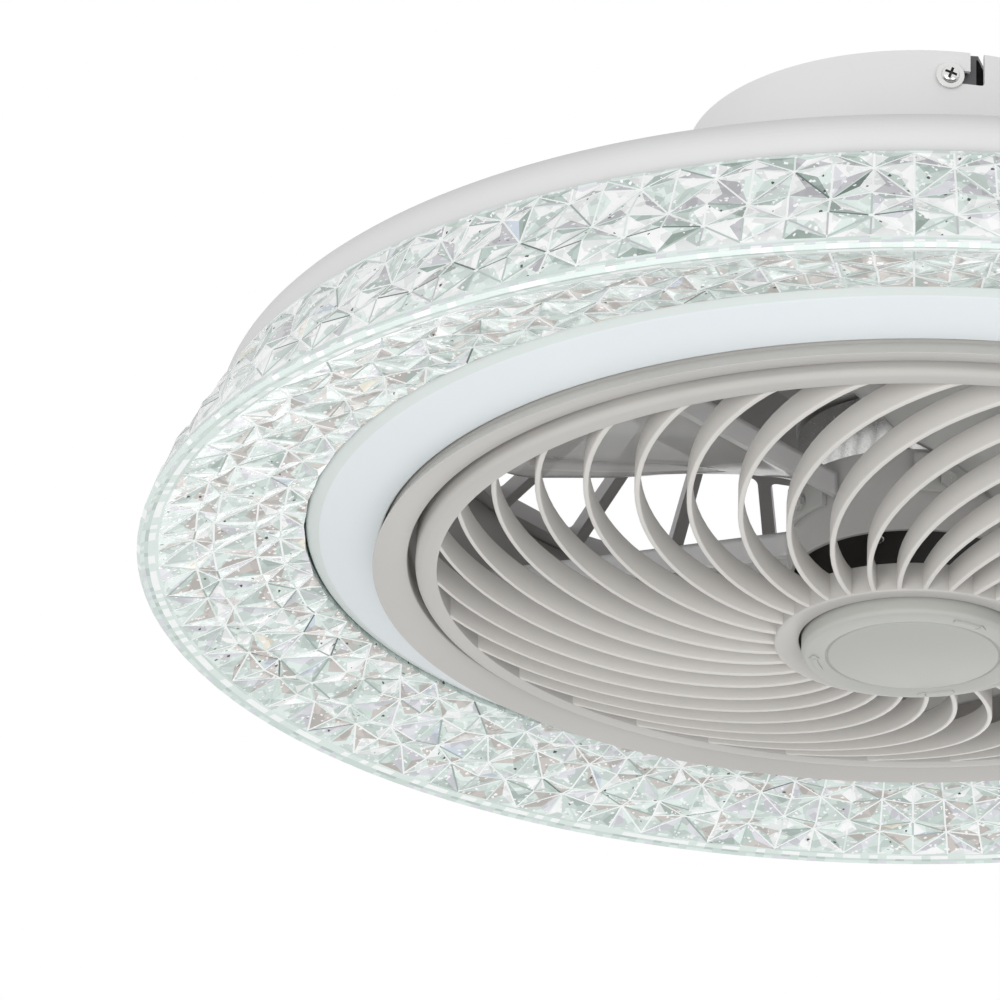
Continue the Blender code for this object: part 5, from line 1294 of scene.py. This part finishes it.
def rib_arc():
    """Root point, arc centre and turn of one rib in plan."""
    root = polar(HUB_RADIUS - GRILLE_HUB_WALL / 2, RIB_START)
    tip = polar((RING_MOUTH + RING_RADIUS) / 2, RIB_START + RIB_SWEEP)
    chord = tip - root
    bow = chord.length * RIB_BOW_SHARE
    radius = ((chord.length / 2) ** 2 + bow ** 2) / (2 * bow)
    centre = (root + tip) / 2 + Vector((-chord.y, chord.x, 0)).normalized() * (radius - bow)
    turn = (root - centre).to_2d().angle_signed((tip - centre).to_2d())
    return root, centre, -turn


def ribs():
    root, centre, turn = rib_arc()
    arm = root - centre
    bm = bmesh.new()
    bmesh.ops.create_grid(bm, x_segments=1, y_segments=1, size=0.5)
    bmesh.ops.scale(bm, vec=(RIB_WALL, RIB_DEPTH, 1), verts=bm.verts)
    bmesh.ops.bevel(bm, geom=bm.verts[:], offset=0.5 * MM, segments=3, profile=0.5, affect="VERTICES",
                    clamp_overlap=True, material=-1)
    stand = Matrix.Rotation(math.atan2(arm.y, arm.x), 4, "Z") @ Matrix.Rotation(math.pi / 2, 4, "X")
    moved(bm, Matrix.Translation((root.x, root.y, RIB_DEPTH / 2)) @ stand)
    bmesh.ops.spin(bm, geom=bm.faces[:], cent=centre, axis=(0, 0, 1), angle=turn, steps=RIB_STEPS)
    bmesh.ops.recalc_face_normals(bm, faces=bm.faces)
    for vert in bm.verts:
        vert.co.z += dome_level(vert.co.xy.length)
    return around(bm, RIBS)


def grille():
    top = high("grille")
    edge = bend((RING_RADIUS - RING_ROUND, RING_LEVEL + RING_ROUND), RING_ROUND, -math.pi / 2, 0, 8)
    ring = turned([(RING_MOUTH, RING_LEVEL), *edge, (RING_RADIUS, top), (RING_MOUTH, top)],
                  rounding=0.3 * MM, steps=2)
    hub_top = HUB_LEVEL + HUB_HEIGHT
    lip = 36.7 * MM
    inner = HUB_RADIUS - GRILLE_HUB_WALL
    cup = turned([(0, hub_top - GRILLE_HUB_WALL), (inner, hub_top - GRILLE_HUB_WALL), (inner, HUB_LEVEL + HUB_LIP),
                  (lip, HUB_LEVEL + HUB_LIP), (lip, HUB_LEVEL + HUB_SLOPE), (HUB_RADIUS - 1.2 * MM, HUB_LEVEL),
                  (HUB_RADIUS, HUB_LEVEL),
                  (HUB_RADIUS, hub_top), (0, hub_top)], 128, 0.7 * MM, 4)
    lugs = three(RING_RADIUS - GAP, BEZEL_INNER - GAP, HOOK_LEVEL + HOOK_HEIGHT + 0.3 * MM, HOOK_SPREAD)
    swept = ribs()
    # The ribs take the lighter copy of the greige: painted light.
    for face in swept.faces:
        face.material_index = 1
    thing = fit("swept_grille", joined(ring, cup, lugs, swept), GREIGE, GRILLE_BODY, "grille")
    thing.data.materials.append(RIB_PAINTED_LIGHT)


grille()

# %% [markdown]
# ## Cap
# The cap twists off to reach the grille's middle. Its edge is softly rounded, its face has a
# fine groove round a plain disc, and three raised arrows show which way it turns. The arrows stand
# on the cap's face, so the face is set back by their height and the cap keeps its size. Three
# lugs behind hold it in the hub.

# %% Hub cap
CAP_RADIUS = 35.9 * MM
CAP_WALL = 1.8 * MM
CAP_DISC = 27.8 * MM
CAP_GROOVE = 0.55 * MM
CAP_EDGE = 1.6 * MM
ARROW_RISE = 0.35 * MM
ARROW_BAND = (30.9 * MM, 32.7 * MM)
ARROW_HEAD = 1.9 * MM
ARROW_SPREAD = math.radians(17.0)
ARROW_STARTS = (-66.0, 66.0, 160.0)
LUG_REACH = 3.4 * MM
LUG_SPREAD = math.radians(14.0)


def arrow(start, face):
    """A raised arrow that runs round the cap's face."""
    inner, outer = ARROW_BAND
    shaft = bent_block(inner, outer, face - ARROW_RISE, face + ARROW_RISE, start, ARROW_SPREAD, 0.15 * MM)
    head = bmesh.new()
    bmesh.ops.create_cone(head, cap_ends=True, segments=3, radius1=ARROW_HEAD, radius2=ARROW_HEAD,
                          depth=2 * ARROW_RISE)
    spot = polar((inner + outer) / 2, start + ARROW_SPREAD + ARROW_HEAD / outer * 0.4, face)
    along = start + ARROW_SPREAD + math.pi / 2
    return shaft, moved(head, Matrix.Translation(spot) @ Matrix.Rotation(along - math.pi / 2, 4, "Z"))


def cap():
    base, top = low("hub_cap"), high("hub_cap")
    face = base + ARROW_RISE
    inner = CAP_RADIUS - CAP_WALL
    groove = ((-1.0, 0.0), (-0.4, 1.0), (0.4, 1.0), (1.0, 0.0))
    outline = [(0, face)] + [(CAP_DISC + across * CAP_GROOVE, face + deep * CAP_GROOVE) for across, deep in groove]
    outline += [(CAP_RADIUS - CAP_EDGE, face)]
    outline += bend((CAP_RADIUS - CAP_EDGE, face + CAP_EDGE), CAP_EDGE, -math.pi / 2, 0, 6)[1:]
    outline += [(CAP_RADIUS, top), (inner, top), (inner, face + CAP_WALL), (0, face + CAP_WALL)]
    parts = [turned(outline, 160, 0.12 * MM, 2)]
    for start in ARROW_STARTS:
        parts += arrow(math.radians(start), face)
    lugs = around(bent_block(inner + CAP_WALL / 2, CAP_RADIUS + LUG_REACH, top - CAP_WALL, top,
                             -LUG_SPREAD / 2, LUG_SPREAD), 3)
    fit("twist_cap", joined(*parts, lugs), CAP_GREIGE, CAP_BODY, "hub_cap")


cap()

# %% [markdown]
# ## Finishes on the solids that stay
# The hidden pieces, the bracket and the boxes inside the canopy have the right shape already, so
# they only take their finish.

# %% Dress the remaining solids
# The bracket takes the near-black copy of the zinc: painted shade.
SOLID_FINISHES = {
    "ceiling_bracket": ZINC_PAINTED_SHADE, "led_board": BOARD, "stator_core": COPPER, "magnet_ring": DARK_MAGNET,
    "lower_bearing": BRIGHT_STEEL, "upper_bearing": BRIGHT_STEEL, "motor_shaft": BRIGHT_STEEL,
    "led_driver": BOX_WHITE, "remote_receiver": BOX_BLACK, "terminal_block": BOX_WHITE,
    "mains_lead": LEAD_WHITE, "motor_lead": LEAD_WHITE,
}
SOLID_FINISHES.update({f"blade_screw_{number}": BRIGHT_STEEL for number in range(1, BLADES + 1)})
for node, finish in SOLID_FINISHES.items():
    frame["nodes"][node].material_slots[0].material = finish
print("dressed solids:", len(SOLID_FINISHES))

# %% [markdown]
# ## Studio
# The fan is seen from below, as from the middle of a room, so the floor is far down and its
# underside is left clear for views from under it. The sky is white to the camera, to gloss and
# to clear plastic, and softer as a lamp.

# %% Floor, light and world
FLOOR_LEVEL = -2.4
FLOOR_SIDE = 60.0
SKY_LIGHT = 0.68


def floor():
    bm = bmesh.new()
    bmesh.ops.create_grid(bm, x_segments=1, y_segments=1, size=FLOOR_SIDE / 2)
    moved(bm, Matrix.Translation((0, 0, FLOOR_LEVEL)))
    material, tree, shader = new_material("studio_floor")
    shader.inputs["Base Color"].default_value = (0.92, 0.92, 0.92, 1.0)
    shader.inputs["Roughness"].default_value = 0.9
    clear = tree.nodes.new("ShaderNodeBsdfTransparent")
    side = tree.nodes.new("ShaderNodeNewGeometry")
    mix = tree.nodes.new("ShaderNodeMixShader")
    link(tree,
         (side.outputs["Backfacing"], mix.inputs["Fac"]),
         (shader.outputs["BSDF"], mix.inputs[1]),
         (clear.outputs["BSDF"], mix.inputs[2]),
         (mix.outputs["Shader"], tree.nodes["Material Output"].inputs["Surface"]))
    made("studio_floor", bm, material, smooth=False)


def world():
    sky = bpy.data.worlds.new("studio")
    sky.use_nodes = True
    tree = sky.node_tree
    back = tree.nodes["Background"]
    back.inputs["Color"].default_value = (1.0, 1.0, 1.0, 1.0)
    path = tree.nodes.new("ShaderNodeLightPath")
    seen = tree.nodes.new("ShaderNodeMath")
    seen.operation = "MAXIMUM"
    shown = tree.nodes.new("ShaderNodeMath")
    shown.operation = "MAXIMUM"
    strength = tree.nodes.new("ShaderNodeMix")
    strength.inputs["A"].default_value = SKY_LIGHT
    strength.inputs["B"].default_value = 1.0
    link(tree,
         (path.outputs["Is Camera Ray"], seen.inputs[0]),
         (path.outputs["Is Glossy Ray"], seen.inputs[1]),
         (seen.outputs[0], shown.inputs[0]),
         (path.outputs["Is Transmission Ray"], shown.inputs[1]),
         (shown.outputs[0], strength.inputs["Factor"]),
         (strength.outputs["Result"], back.inputs["Strength"]))
    bpy.context.scene.world = sky


def softbox(name, place, side, power):
    """A square lamp that faces the fan."""
    light = bpy.data.lights.new(name, "AREA")
    light.size = side
    light.energy = power
    lamp = bpy.data.objects.new(name, light)
    lamp.location = place
    aim = FAN_MIDDLE - Vector(place)
    lamp.rotation_euler = aim.to_track_quat("-Z", "Y").to_euler()
    bpy.context.scene.collection.objects.link(lamp)
    return lamp


FAN_MIDDLE = Vector((0, 0, low("hub_cap") / 2))
floor()
world()
key = softbox("key", (-1.3, -2.0, -1.6), 1.5, 15.0)
key.visible_glossy = False
softbox("fill", (1.5, -1.9, -1.5), 1.5, 15.0)
softbox("front", (-0.9, -2.8, -0.9), 1.5, 24.0)
softbox("rear", (0.4, 2.6, -0.5), 1.5, 14.0)
print("lamps:", len(bpy.data.lights))

# %% [markdown]
# ## Camera
# The photograph is a tight crop: the fan's axis is near its right edge. The camera was worked
# out from the ellipses of the rims, so it has a long lens, looks up by 24 degrees, and is turned
# and rolled a little.

# %% Camera
LENS = 239.7
DISTANCE = 2.147
RISE = math.radians(23.24)
AIM_DROP = 156.3 * MM
YAW, PITCH, ROLL = math.radians(-3.89), math.radians(23.94), math.radians(1.71)


def camera():
    data = bpy.data.cameras.new("camera")
    data.lens = LENS
    data.sensor_width = 36.0
    forward = Vector((math.sin(YAW) * math.cos(PITCH), math.cos(YAW) * math.cos(PITCH), math.sin(PITCH)))
    right = Vector((math.cos(YAW), -math.sin(YAW), 0))
    up = right.cross(forward)
    across = math.cos(ROLL) * right + math.sin(ROLL) * up
    above = -math.sin(ROLL) * right + math.cos(ROLL) * up
    eye = bpy.data.objects.new("camera", data)
    place = Vector((0, -DISTANCE * math.cos(RISE), -DISTANCE * math.sin(RISE) - AIM_DROP))
    eye.matrix_world = Matrix.Translation(place) @ Matrix((across, above, -forward)).transposed().to_4x4()
    bpy.context.scene.collection.objects.link(eye)
    bpy.context.scene.camera = eye
    print("camera at", tuple(round(value, 3) for value in place))


camera()
bpy.context.scene.view_settings.view_transform = "Standard"
